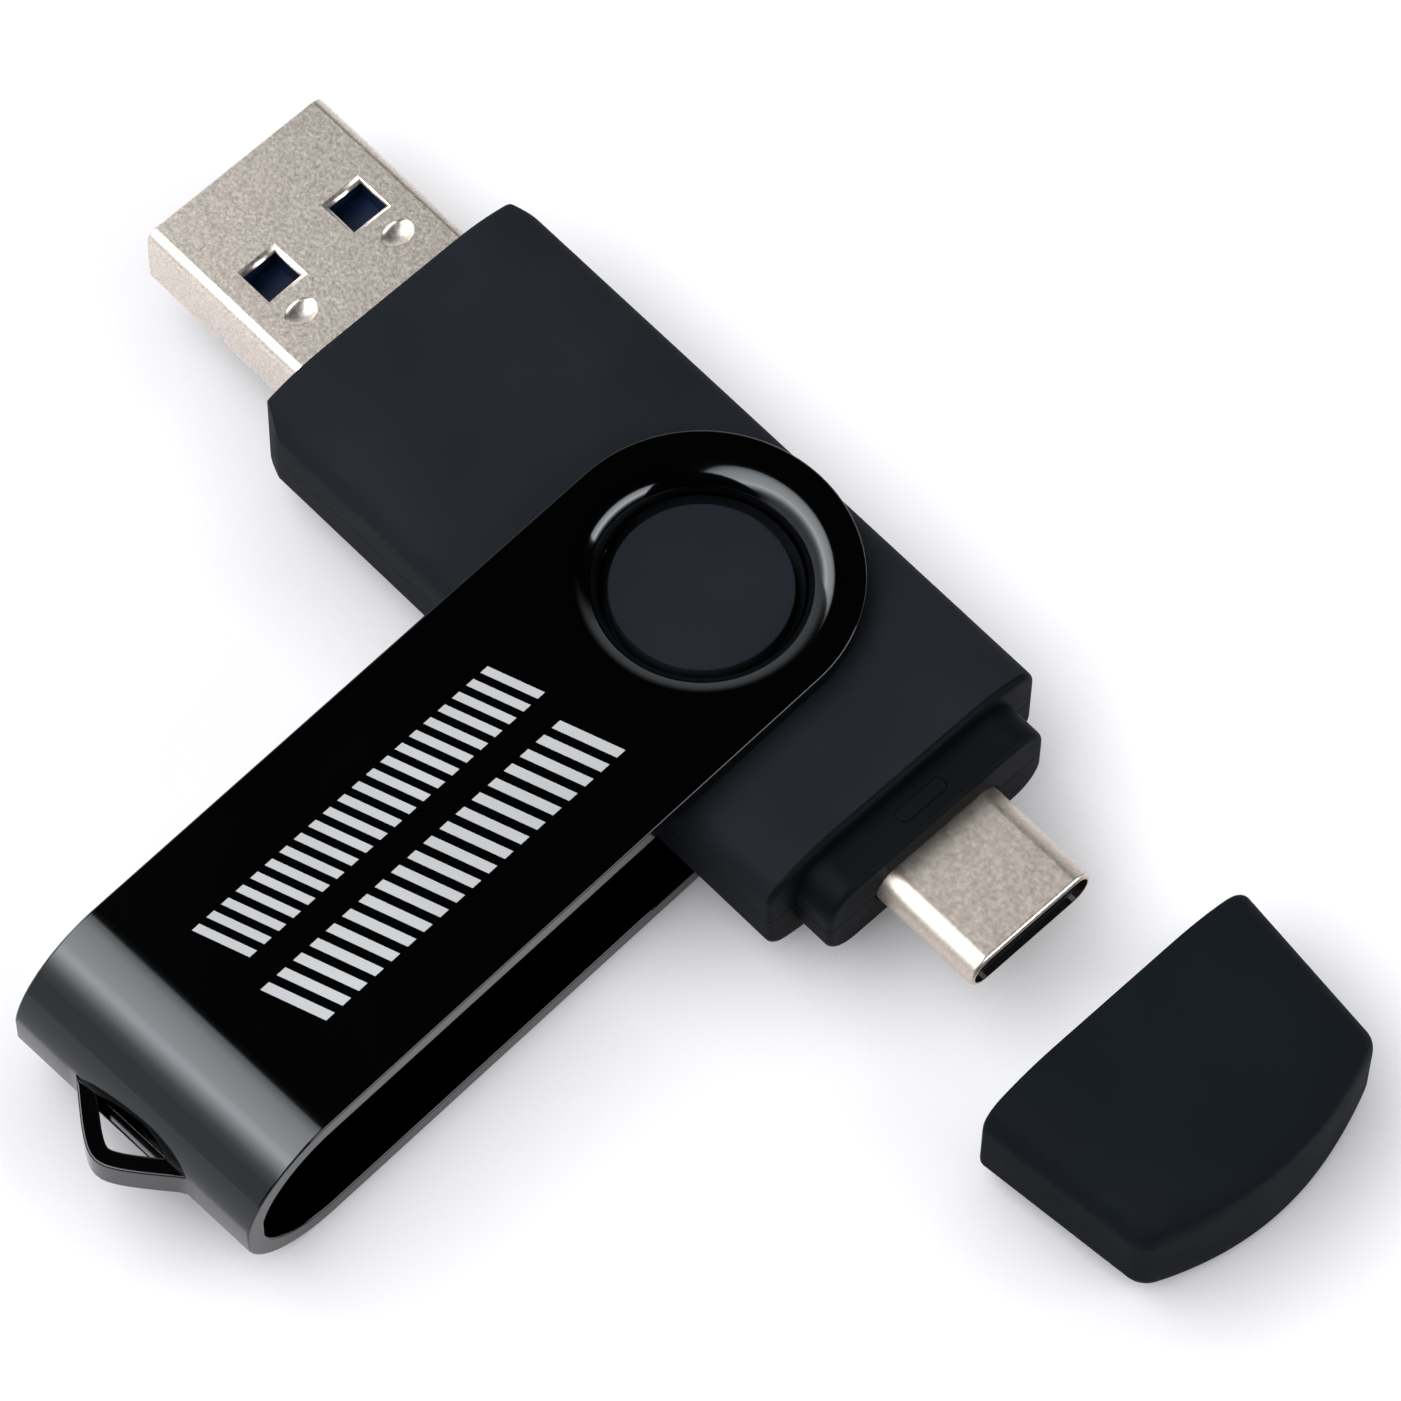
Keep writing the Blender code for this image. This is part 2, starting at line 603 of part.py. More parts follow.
# ---- USB-C plug ----
def usb_c_plug(steel, black, gold):
    tube("usb_c_shell", USB_C_TIP, USB_C_BACK, USB_C_HALF_W, USB_C_HALF_H,
         USB_C_HALF_H - 0.01, USB_C_WALL, 6, NOSE_TIP + NECK_LEAD, steel)
    gap = USB_C_WALL + 0.05
    liner = bar("usb_c_insulator", USB_C_BACK + 0.2, USB_C_TIP - 0.35, USB_C_HALF_W - gap, USB_C_HALF_H - gap,
                USB_C_HALF_H - gap - 0.01, 5, black)
    slot = bar("slot", USB_C_BACK - 1, USB_C_TIP + 1, SLOT_HALF_W, SLOT_HALF_H, 0.1, 1)
    cut(liner, slot)
    box("usb_c_mid_plate", (USB_C_BACK + 0.3, -3.1, MID_Z - 0.08), (16.6, 3.1, MID_Z + 0.08), steel)
    for name, side in (("left", 1), ("right", -1)):
        near, far = sorted((side * (SLOT_HALF_W - 0.2), side * (SLOT_HALF_W - 0.05)))
        low = (USB_C_BACK + 0.3, near, MID_Z - 0.3)
        high = (USB_C_TIP - 1.0, far, MID_Z + 0.3)
        box("usb_c_latch_" + name, low, high, steel)
    for row, side in (("upper", 1), ("lower", -1)):
        count = 0
        for k in range(USB_C_PINS):
            if side < 0 and k in (5, 6):
                continue    # the plug leaves its lower data pair out
            count += 1
            y = (k - (USB_C_PINS - 1) / 2) * USB_C_PITCH
            inner = BOARD_HALF_T + 0.03
            near, far = sorted((MID_Z + side * inner, MID_Z + side * (inner + PIN_T)))
            low = (BOARD_BACK - 1.2, y - 0.12, near)
            high = (USB_C_TIP - 0.9, y + 0.12, far)
            box("usb_c_%s_contact_%d" % (row, count), low, high, gold)


# ---- electronics ----
def electronics(green, epoxy, steel, ceramic):
    top = MID_Z + BOARD_HALF_T + 0.03
    under = MID_Z - BOARD_HALF_T - 0.03
    box("circuit_board", (BOARD_FRONT, -BOARD_HALF_W, MID_Z - BOARD_HALF_T),
        (BOARD_BACK, BOARD_HALF_W, MID_Z + BOARD_HALF_T), green)
    box("flash_memory_chip", (-6.5, -5.75, top), (5.5, 5.75, top + 0.95), epoxy)
    box("controller_chip", (-4.5, -4.0, under - 0.85), (3.5, 4.0, under), epoxy)
    box("clock_crystal", (-12.5, 2.4, top), (-9.3, 4.9, top + 0.8), steel)
    box("voltage_regulator", (-12.4, -4.3, top), (-9.5, -2.7, top + 1.0), epoxy)
    places = ((-15.2, -3.2), (-15.2, 3.2), (7.4, -4.6), (7.4, 4.6))
    for k, (x, y) in enumerate(places):
        box("capacitor_%d" % (k + 1), (x - 0.5, y - 0.25, top), (x + 0.5, y + 0.25, top + 0.5), ceramic)
    for k, y in enumerate((-2.6, 2.6)):
        box("resistor_%d" % (k + 1), (7.0, y - 0.25, under - 0.35), (8.0, y + 0.25, under), epoxy)


# ---- assembly ----
def settle(made, origins):
    """Scale to metres, centre the drive over the frame's origin and set each object's own origin."""
    points = [vertex.co for thing in made for vertex in thing.data.vertices]
    middle_x = (min(p.x for p in points) + max(p.x for p in points)) / 2
    middle_y = (min(p.y for p in points) + max(p.y for p in points)) / 2
    lowest = min(p.z for p in points)
    shift = Vector((-middle_x, -middle_y, -lowest))
    for thing in made:
        origin = Vector(origins.get(thing.name, (0.0, 0.0, 0.0)))
        for vertex in thing.data.vertices:
            vertex.co = (vertex.co - origin) * MM
        thing.location = (origin + shift) * MM
        shape = bmesh.new()
        shape.from_mesh(thing.data)
        bmesh.ops.remove_doubles(shape, verts=shape.verts, dist=WELD * MM)
        shape.to_mesh(thing.data)
        shape.free()


def build():
    for thing in list(bpy.data.objects):
        bpy.data.objects.remove(thing)
    soft_black = material("soft_touch_black", (0.021, 0.023, 0.027), 0.62, 0.0)
    cap_black = material("cap_black", (0.014, 0.016, 0.021), 0.55, 0.0)
    paint = material("black_paint", (0.008, 0.008, 0.009), 0.16, 0.0)
    steel = material("satin_steel", (0.62, 0.58, 0.53), 0.32, 1.0)
    steel_c = material("satin_steel_usb_c", (0.56, 0.52, 0.48), 0.3, 1.0)
    blue = material("blue_insulator", (0.012, 0.07, 0.32), 0.45, 0.0)
    black = material("black_insulator", (0.012, 0.012, 0.014), 0.5, 0.0)
    gold = material("gold_plating", (0.83, 0.6, 0.24), 0.25, 1.0)
    green = material("board_green", (0.02, 0.16, 0.06), 0.5, 0.0)
    epoxy = material("chip_epoxy", (0.02, 0.02, 0.022), 0.6, 0.0)
    can = material("crystal_can", (0.7, 0.7, 0.7), 0.3, 1.0)
    ceramic = material("capacitor_ceramic", (0.35, 0.25, 0.16), 0.5, 0.0)

    body_shell("housing_upper", 1, soft_black)
    body_shell("housing_lower", -1, soft_black)
    swivel_clip(paint)
    cap(cap_black)
    usb_a_shell(steel)
    usb_a_tongue(blue)
    usb_a_contacts(gold)
    usb_c_plug(steel_c, black, gold)
    electronics(green, epoxy, can, ceramic)
    origins = {"usb_c_cap": (CAP_OPEN, CAP_Y, CAP_HALF_H)}
    settle(list(bpy.context.scene.objects), origins)


build()
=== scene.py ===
"""Looks for the swivel USB flash drive: detailed pieces, procedural finishes, lights and camera.

Lengths are millimetres from the swivel axis and the table, turned into metres by place().
"""
import json
import math

import bmesh
import bpy
from mathutils import Matrix, Vector


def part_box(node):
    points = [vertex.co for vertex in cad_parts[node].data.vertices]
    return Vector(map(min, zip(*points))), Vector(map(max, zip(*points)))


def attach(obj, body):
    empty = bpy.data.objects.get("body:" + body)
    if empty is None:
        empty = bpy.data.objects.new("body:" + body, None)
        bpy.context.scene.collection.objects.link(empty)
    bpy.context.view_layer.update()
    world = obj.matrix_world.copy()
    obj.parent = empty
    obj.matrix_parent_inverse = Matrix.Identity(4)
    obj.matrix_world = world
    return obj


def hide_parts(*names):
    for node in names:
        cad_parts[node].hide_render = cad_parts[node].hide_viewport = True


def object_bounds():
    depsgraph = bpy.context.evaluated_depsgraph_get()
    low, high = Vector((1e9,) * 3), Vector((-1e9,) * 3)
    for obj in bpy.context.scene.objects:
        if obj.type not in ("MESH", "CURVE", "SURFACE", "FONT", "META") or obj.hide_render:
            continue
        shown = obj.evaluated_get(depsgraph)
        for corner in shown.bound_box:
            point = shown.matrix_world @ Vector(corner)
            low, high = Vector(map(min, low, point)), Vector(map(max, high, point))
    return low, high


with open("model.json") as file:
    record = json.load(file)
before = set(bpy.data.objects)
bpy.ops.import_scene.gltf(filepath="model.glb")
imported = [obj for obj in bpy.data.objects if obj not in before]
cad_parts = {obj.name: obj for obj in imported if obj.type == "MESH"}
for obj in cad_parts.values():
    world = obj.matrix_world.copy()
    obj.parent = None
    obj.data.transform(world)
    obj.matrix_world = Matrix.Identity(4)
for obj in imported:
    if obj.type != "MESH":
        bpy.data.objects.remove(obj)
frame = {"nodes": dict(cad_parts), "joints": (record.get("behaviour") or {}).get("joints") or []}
cad_box = [list(corner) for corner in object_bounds()]

MM = 0.001
TABLE_Z = cad_box[0][2]
swivel = next(joint for joint in frame["joints"] if joint["name"] == "clip_swivel")
PIVOT = Vector((swivel["pos_m"][0], swivel["pos_m"][1], TABLE_Z))


def node_mm(name):
    """Lowest and highest corner of a CAD node, in millimetres from the swivel axis and the table."""
    low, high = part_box(name)
    return [(Vector(low) - PIVOT) / MM, (Vector(high) - PIVOT) / MM]


# ---- dimensions: the frame states the outer sizes, the rest repeat the design's or add detail ----
UPPER_LOW, UPPER_HIGH = node_mm("housing_upper")
CLIP_LOW, CLIP_HIGH = node_mm("swivel_clip")
CAP_LOW, CAP_HIGH = node_mm("usb_c_cap")
USB_A_LOW, USB_A_HIGH = node_mm("usb_a_shell")
USB_C_LOW, USB_C_HIGH = node_mm("usb_c_shell")

MID_Z = 0.5 * (USB_A_LOW.z + USB_A_HIGH.z)
PARTING = UPPER_LOW.z - MID_Z  # height of the line between the two shells, from the middle
BODY_FRONT = UPPER_LOW.x
BODY_BACK = 14.35      # shoulder that the cap closes on
BODY_HALF_W = UPPER_HIGH.y
BODY_HALF_H = UPPER_HIGH.z - MID_Z
BODY_EDGE = 1.6        # rounding of the body's long edges
CROWN_START = 4.5      # half width of the flat middle of the body's faces
CROWN_R = 10.7
BODY_END_EDGE = 0.35   # rounding at the body's two ends
CORNER_CUT_Y = 0.85
CORNER_CUT_X = 1.7
WALL = 1.25
PLUG_GAP = 0.1
NOSE_TIP = UPPER_HIGH.x
SHOULDER_DRAFT = 0.02
NOSE_HALF_W = 7.35
NOSE_HALF_H = 2.9
NOSE_EDGE = 1.9
DETENT_X = 15.5        # ridge on the nose that the cap clicks over
DETENT_HALF_L = 1.6
DETENT_HALF_W = 0.42
DETENT_RISE = 0.12
DETENT_SINK = 0.05     # how far its foot reaches into the nose
BOSS_R = 4.66          # round boss that the clip turns on
BOSS_EASE = 0.15
GROOVE_R = 6.4         # groove round the boss, for the clip's dished eye
GROOVE_RIM_R = 7.4
GROOVE_FLOOR = 2.45
PAD_FLOOR = 1.9        # half height of the hollow inside
CAVITY_ROUND = 1.2
PAST = 1.0             # how far a cutting tool runs on past what it cuts

SHEET = 1.1            # thickness of the clip's sheet
CLIP_HALF_W = 8.1
CLIP_ANGLE = -88.2     # heading of the clip at rest, in degrees from the USB-C end
BEND_START = 33.5
BEND_R = 0.5 * (CLIP_HIGH.z - CLIP_LOW.z)
BEND_REACH = 5.8       # how far the bend stands out past the flat arms
EYE_R = 6.7
EYE_FOLD_R = 1.6       # outer radius of the fold down into the eye
EYE_SLOPE = 75.0       # degrees
EYE_HOLE_R = 5.1
RING_FRONT = 9.5       # where the ring round the eye meets the arm
LOOP_HALF_SPAN = 3.8
LOOP_HALF_H = 0.95
LOOP_REACH = 2.45      # how far the cord loop stands out of the bend
LOOP_ROUND = 1.1       # softness of the loop's point
LOOP_SHEET = 0.95
LINES_ACROSS = 24      # mesh strips across the clip's loop
LINES_BESIDE = 6       # mesh strips on each side of it
CLIP_EASE = 0.16       # rounding of the sheet's edges

# Bands of strokes: from and to along the clip, from and to across it, pitch, stroke width.
ENGRAVED_BANDS = ((11.0, 30.6, -3.9, -0.9, 0.98, 0.5), (10.6, 31.2, 0.7, 4.1, 1.1, 0.58))
STROKE_SLANT = 0.32    # drift along the clip for each millimetre across it
STROKE_RISE = 0.006    # how far a stroke stands above the paint
STROKE_SINK = 0.02

CAP_OPEN = CAP_LOW.x
CAP_END = CAP_HIGH.x
CAP_Y = 0.5 * (CAP_LOW.y + CAP_HIGH.y)
CAP_HALF_H = 0.5 * (CAP_HIGH.z - CAP_LOW.z)
CAP_HALF_W_OPEN = 0.5 * (CAP_HIGH.y - CAP_LOW.y)
CAP_HALF_W_END = 8.15
CAP_END_EDGE = 0.9
CAP_END_SAG = 1.84     # how far the cap's end bulges
CAP_CORNER = 1.3
CAP_ROOM = 0.3         # gap round the nose
CAP_DEPTH = 9.6
CAP_SEAT = 3.2         # depth of the part that takes the nose
CAP_NARROWS = 0.7      # how much each side comes in from there to the hollow's end
CAP_LIP = 0.4          # plan rounding at the mouth

USB_A_FRONT = USB_A_LOW.x
USB_A_BACK = USB_A_HIGH.x
USB_A_HALF_W = USB_A_HIGH.y
USB_A_HALF_H = 0.5 * (USB_A_HIGH.z - USB_A_LOW.z)
USB_A_EDGE = 0.65
USB_A_WALL = 0.3
WINDOW_X = (-29.2, -27.3)
WINDOW_Y = (1.85, 4.05)
WINDOW_ROLL = 0.26     # rounding of the windows' rims
DIMPLE_X = -25.64
DIMPLE_Y = 3.3
DIMPLE_SIZE = Vector((0.72, 1.0, 0.3))
DIMPLE_LIFT = 0.08     # centre of the dimple's hollow above the plug's face
SEAM_HALF_W = 0.03
SEAM_DEPTH = 0.12
USB_A_LIP = 0.12

USB_C_TIP = USB_C_HIGH.x
USB_C_BACK = USB_C_LOW.x
USB_C_HALF_W = USB_C_HIGH.y
USB_C_HALF_H = 0.5 * (USB_C_HIGH.z - USB_C_LOW.z)
USB_C_WALL = 0.2
USB_C_LIP = 0.22

TABLE_HALF = 1500.0
TABLE_DROP = 0.02      # the floor lies this far under the drive
# the floor's own glow: painted light that lifts its shadows and lights the pieces from below
TABLE_PAINTED_GLOW = 0.5
TABLE_PAINTED_SHADE_REACH = 0.007    # metres within which a piece dims the table's glow: painted contact shadow
STUDIO_DARK = 0.01
BACKDROP_LIGHT = 0.85
BACKDROP_TOP = 52.0    # degrees up at which the backdrop has faded out
BACKDROP_FULL = 25.0   # degrees up below which it is at its brightest
BACKDROP_EDGE = 0.1    # how far round, along X, the backdrop reaches
BACKDROP_FADE = 0.3
# Height up a softbox, as a part of one, and how bright it is there.
SOFTBOX_GLOW = ((0.04, 0.0), (0.18, 0.12), (0.28, 0.4), (0.4, 1.2),
                (0.48, 1.85), (0.56, 1.27), (0.86, 1.05), (1.0, 0.3))
CAMERA_SPOT = (143.05, -142.99, 398.09)
CAMERA_AHEAD = (-0.31798, 0.31807, -0.89315)
CAMERA_ROLL = 1.44     # degrees
CAMERA_LENS = 228.7

ARC = 10               # segments in a rounded edge
EASE = 6               # segments in an eased end
LIP = 4                # segments in a lip
CROWN_STEPS = 6        # segments in the crown's fall
TURN = 128             # segments round the swivel axis


# ---- mesh helpers ----
def place(point):
    """World position of a point in millimetres from the swivel axis and the table."""
    return PIVOT + Vector(point) * MM


def make_piece(name, shape, material, sharp=35.0):
    """Mesh object from a bmesh in millimetres, smooth-shaded except across sharp edges."""
    for vertex in shape.verts:
        vertex.co = place(vertex.co)
    bmesh.ops.recalc_face_normals(shape, faces=shape.faces)
    mesh = bpy.data.meshes.new(name)
    shape.to_mesh(mesh)
    shape.free()
    piece = bpy.data.objects.new(name, mesh)
    bpy.context.scene.collection.objects.link(piece)
    mesh.materials.append(material)
    shade(piece, sharp)
    return piece


def shade(piece, sharp=35.0):
    """Smooth shading, broken where faces meet at more than an angle in degrees."""
    for face in piece.data.polygons:
        face.use_smooth = True
    piece.data.set_sharp_from_angle(angle=math.radians(sharp))


def weigh_normals(piece):
    """Keep large faces flat where they meet rounded edges."""
    weigh = piece.modifiers.new("weighted normals", "WEIGHTED_NORMAL")
    weigh.keep_sharp = True
    weigh.weight = 80


def bevel(piece, width, segments, angle):
    """Round every edge sharper than an angle in degrees."""
    edge = piece.modifiers.new("eased edges", "BEVEL")
    edge.width = width * MM
    edge.segments = segments
    edge.limit_method = "ANGLE"
    edge.angle_limit = math.radians(angle)


def loft_shape(rings, closed=False):
    """Skin over rings of points, capped at its ends or closed on itself."""
    shape = bmesh.new()
    rows = [[shape.verts.new(point) for point in ring] for ring in rings]
    count = len(rows[0])
    pairs = list(zip(rows, rows[1:]))
    if closed:
        pairs.append((rows[-1], rows[0]))
    else:
        shape.faces.new(rows[0])
        shape.faces.new(rows[-1])
    for near, far in pairs:
        for i in range(count):
            j = (i + 1) % count
            shape.faces.new((near[i], near[j], far[j], far[i]))
    return shape


def cut(piece, tool):
    """Apply one exact Boolean difference and drop the tool."""
    step = piece.modifiers.new("step", "BOOLEAN")
    step.operation = "DIFFERENCE"
    step.solver = "EXACT"
    step.object = tool
    bpy.context.view_layer.update()
    graph = bpy.context.evaluated_depsgraph_get()
    result = bpy.data.meshes.new_from_object(piece.evaluated_get(graph))
    piece.modifiers.clear()
    piece.data = result
    bpy.data.objects.remove(tool)


def corner(centre_a, centre_b, radius, start, steps):
    """Quarter circle of points from a start angle in degrees."""
    turns = [math.radians(start + 90.0 * k / steps) for k in range(steps + 1)]
    return [(centre_a + radius * math.cos(t), centre_b + radius * math.sin(t)) for t in turns]


def rounded_rect(half_a, half_b, radius, steps):
    inner_a = half_a - radius
    inner_b = half_b - radius
    points = []
    for side_a, side_b, start in ((1, 1, 0), (-1, 1, 90), (-1, -1, 180), (1, -1, 270)):
        points += corner(side_a * inner_a, side_b * inner_b, radius, start, steps)
    return points


def half_rounded_rect(half_a, half_b, radius, steps, floor):
    """Upper half of a rounded rectangle, cut off at a floor height."""
    points = [(half_a, floor)]
    points += corner(half_a - radius, half_b - radius, radius, 0, steps)
    points += corner(radius - half_a, half_b - radius, radius, 90, steps)
    points.append((-half_a, floor))
    return points


def crowned_half(half_a, half_b, inset, floor):
    """Upper half of the body's section: upright sides, rounded edges and a gently crowned face."""
    fall = math.asin((half_a - BODY_EDGE - CROWN_START) / (CROWN_R - BODY_EDGE))
    crown_b = half_b - CROWN_R
    edge_b = crown_b + (CROWN_R - BODY_EDGE) * math.cos(fall)
    quarter = []
    for k in range(ARC + 1):
        turn = (math.pi / 2 - fall) * k / ARC
        edge = BODY_EDGE - inset
        quarter.append((half_a - BODY_EDGE + edge * math.cos(turn), edge_b + edge * math.sin(turn)))
    for k in range(1, CROWN_STEPS + 1):
        turn = fall * (1 - k / CROWN_STEPS)
        crown = CROWN_R - inset
        quarter.append((CROWN_START + crown * math.sin(turn), crown_b + crown * math.cos(turn)))
    points = [(half_a - inset, floor)] + quarter
    return points + [(-a, b) for a, b in reversed(points)]


def across(x, outline, side=1):
    """Section outline stood up across the drive at x, or mirrored below its middle by side -1."""
    return [(x, a, MID_Z + side * b) for a, b in outline]


# ---- materials ----
NOISE_LOW = 0.3        # range that noise spends nearly all its time in
NOISE_HIGH = 0.7
GRAIN_DEPTH = 0.00002


class Nodes:
    """Short way to build a shader tree."""

    def __init__(self, name):
        self.material = bpy.data.materials.new(name)
        self.material.use_nodes = True
        self.tree = self.material.node_tree
        self.shader = self.tree.nodes["Principled BSDF"]
        self.coords = self.tree.nodes.new("ShaderNodeTexCoord").outputs["Object"]

    def add(self, kind, **values):
        node = self.tree.nodes.new(kind)
        for key, value in values.items():
            if key in node.inputs:
                node.inputs[key].default_value = value
            else:
                setattr(node, key, value)
        return node

    def link(self, source, target):
        self.tree.links.new(source, target)

    def noise(self, scale, detail):
        noise = self.add("ShaderNodeTexNoise", Scale=scale, Detail=detail)
        self.link(self.coords, noise.inputs["Vector"])
        return noise.outputs["Fac"]

    def spread(self, source, low, high):
        ranged = self.add("ShaderNodeMapRange")
        ranged.inputs["From Min"].default_value = NOISE_LOW
        ranged.inputs["From Max"].default_value = NOISE_HIGH
        ranged.inputs["To Min"].default_value = low
        ranged.inputs["To Max"].default_value = high
        self.link(source, ranged.inputs["Value"])
        return ranged.outputs["Result"]

    def colour(self, source, dark, light):
        ramp = self.add("ShaderNodeValToRGB")
        ramp.color_ramp.elements[0].position = NOISE_LOW
        ramp.color_ramp.elements[0].color = (*dark, 1.0)
        ramp.color_ramp.elements[1].position = NOISE_HIGH
        ramp.color_ramp.elements[1].color = (*light, 1.0)
        self.link(source, ramp.inputs["Fac"])
        self.link(ramp.outputs["Color"], self.shader.inputs["Base Color"])

    def roughness(self, source, low, high):
        self.link(self.spread(source, low, high), self.shader.inputs["Roughness"])

    def bump(self, source, strength, distance=GRAIN_DEPTH):
        bump = self.add("ShaderNodeBump", Strength=strength, Distance=distance)
        self.link(source, bump.inputs["Height"])
        self.link(bump.outputs["Normal"], self.shader.inputs["Normal"])


def moulded(name, dark, light, rough, grain=9000.0, bump=0.12, specular=0.35):
    """Moulded or coated plastic: fine grain, slight tone drift and uneven gloss."""
    tree = Nodes(name)
    tree.colour(tree.noise(160.0, 3.0), dark, light)
    tree.roughness(tree.noise(420.0, 5.0), rough[0], rough[1])
    tree.bump(tree.noise(grain, 2.0), bump)
    tree.shader.inputs["Specular IOR Level"].default_value = specular
    return tree.material


def metal(name, dark, light, rough, grain=2600.0, bump=0.1):
    """Satin metal: speckled grain with small changes of gloss."""
    tree = Nodes(name)
    tree.colour(tree.noise(grain, 3.0), dark, light)
    tree.roughness(tree.noise(grain * 0.6, 4.0), rough[0], rough[1])
    tree.bump(tree.noise(grain * 1.6, 2.0), bump)
    tree.shader.inputs["Metallic"].default_value = 1.0
    return tree.material


def painted(name):
    """Gloss black powder paint on steel, with a faint orange peel."""
    tree = Nodes(name)
    tree.colour(tree.noise(90.0, 3.0), (0.0001, 0.0001, 0.0002), (0.0002, 0.0002, 0.0003))
    tree.roughness(tree.noise(260.0, 4.0), 0.08, 0.1)
    tree.bump(tree.noise(1500.0, 2.0), 0.03)
    tree.shader.inputs["Specular IOR Level"].default_value = 0.5
    tree.shader.inputs["Specular Tint"].default_value = (0.93, 0.965, 1.0, 1.0)
    return tree.material


soft_black = moulded("soft_touch_black", (0.0068, 0.0079, 0.0104), (0.0087, 0.0101, 0.0132),
                     (0.66, 0.74), specular=0.05)
nose_black = moulded("nose_black", (0.0018, 0.0024, 0.0032), (0.0026, 0.0034, 0.0044),
                     (0.5, 0.6), specular=0.04)
cap_black = moulded("cap_black", (0.0034, 0.0048, 0.0067), (0.0045, 0.0061, 0.0084),
                    (0.6, 0.68), specular=0.03)
paint = painted("black_paint")
steel = metal("plug_steel", (0.55, 0.485, 0.43), (0.87, 0.785, 0.71), (0.28, 0.36), 8000.0, 0.06)
steel_c = metal("plug_steel_usb_c", (0.56, 0.49, 0.43), (0.68, 0.605, 0.54), (0.355, 0.435), 6000.0, 0.05)
# painted shade: nearly black steel where shade falls inside the USB-C plug
steel_painted_shade = metal("plug_steel_painted_shade", (0.02, 0.019, 0.018), (0.035, 0.033, 0.031),
                     (0.5, 0.6), 6000.0, 0.05)
engraved = moulded("engraved_metal", (0.28, 0.28, 0.285), (0.33, 0.33, 0.335), (0.55, 0.7), 6000.0, 0.1)
gold = metal("gold_contacts", (0.75, 0.52, 0.2), (0.9, 0.66, 0.3), (0.2, 0.3))
blue = moulded("blue_insulator", (0.001, 0.006, 0.02), (0.0015, 0.009, 0.03), (0.35, 0.45),
               5000.0, 0.1, specular=0.2)
black_liner = moulded("black_insulator", (0.008, 0.008, 0.009), (0.013, 0.013, 0.014),
                      (0.4, 0.5), 5000.0, 0.1)
board_green = moulded("board_green", (0.012, 0.1, 0.035), (0.02, 0.15, 0.05), (0.35, 0.5), 3000.0, 0.15)
chip_resin = moulded("chip_resin", (0.014, 0.014, 0.016), (0.022, 0.022, 0.024), (0.5, 0.65), 7000.0, 0.25)
can_metal = metal("crystal_can", (0.6, 0.6, 0.6), (0.74, 0.74, 0.74), (0.25, 0.35))
ceramic = moulded("capacitor_ceramic", (0.28, 0.19, 0.12), (0.38, 0.27, 0.18), (0.4, 0.55), 4000.0, 0.2)


def finish_nodes(names, material):
    """Give design nodes that show as they are one material."""
    for name in names:
        mesh = frame["nodes"][name].data
        mesh.materials.clear()
        mesh.materials.append(material)


# painted shade: the parts deep in the USB-C mouth take the nearly black steel
finish_nodes(["usb_c_mid_plate", "usb_c_latch_left", "usb_c_latch_right"], steel_painted_shade)
finish_nodes([name for name in frame["nodes"] if "_contact_" in name], gold)
finish_nodes(["usb_a_tongue"], blue)
finish_nodes(["usb_c_insulator"], black_liner)
finish_nodes(["circuit_board"], board_green)
finish_nodes(["flash_memory_chip", "controller_chip", "voltage_regulator"], chip_resin)
finish_nodes(["resistor_1", "resistor_2"], chip_resin)
finish_nodes(["clock_crystal"], can_metal)
finish_nodes(["capacitor_%d" % (k + 1) for k in range(4)], ceramic)


# ---- body shells ----
def bar(name, start, end, half_w, half_h, radius, steps):
    """Rounded bar along the drive, for cutting."""
    outline = rounded_rect(half_w, half_h, radius, steps)
    return make_piece(name, loft_shape([across(start, outline), across(end, outline)]), soft_black)


def turned(name, profile):
    """Closed profile turned about the swivel axis, for cutting."""
    rings = []
    for k in range(TURN):
        turn = 2.0 * math.pi * k / TURN
        rings.append([(r * math.cos(turn), r * math.sin(turn), z) for r, z in profile])
    return make_piece(name, loft_shape(rings, closed=True), soft_black)


def corner_cutter(side_y):
    """Wedge that takes off one corner of the body beside the USB-A plug."""
    slope = CORNER_CUT_Y / CORNER_CUT_X
    start = BODY_FRONT - PAST
    end = BODY_FRONT + CORNER_CUT_X + PAST
    start_y = BODY_HALF_W - CORNER_CUT_Y - PAST * slope
    end_y = BODY_HALF_W + PAST * slope
    clear_y = end_y + 3.0
    base = [(start, start_y), (end, end_y), (end, clear_y), (start, clear_y)]
    heights = (MID_Z - BODY_HALF_H - PAST, MID_Z + BODY_HALF_H + PAST)
    rings = [[(x, side_y * y, z) for x, y in base] for z in heights]
    return make_piece("corner", loft_shape(rings), soft_black)


def body_rings(side):
    """Half sections from the USB-A face to the nose's tip, with both ends eased."""
    turns = [math.radians(90.0 * k / EASE) for k in range(EASE + 1)]
    rounding = [(BODY_END_EDGE * (1 - math.cos(t)), BODY_END_EDGE * (1 - math.sin(t))) for t in turns]
    rings = []
    for end, toward, stations in ((BODY_FRONT, 1, rounding), (BODY_BACK, -1, rounding[::-1])):
        for along, inset in stations:
            section = crowned_half(BODY_HALF_W, BODY_HALF_H, inset, PARTING)
            rings.append(across(end + toward * along, section, side))
    stations = [(BODY_BACK + SHOULDER_DRAFT, 0.0)]
    stations += [(NOSE_TIP - along, inset) for along, inset in reversed(rounding)]
    steps = ARC + CROWN_STEPS
    for x, inset in stations:
        outline = half_rounded_rect(NOSE_HALF_W - inset, NOSE_HALF_H - inset,
                                    NOSE_EDGE - inset, steps, PARTING)
        rings.append(across(x, outline, side))
    return rings


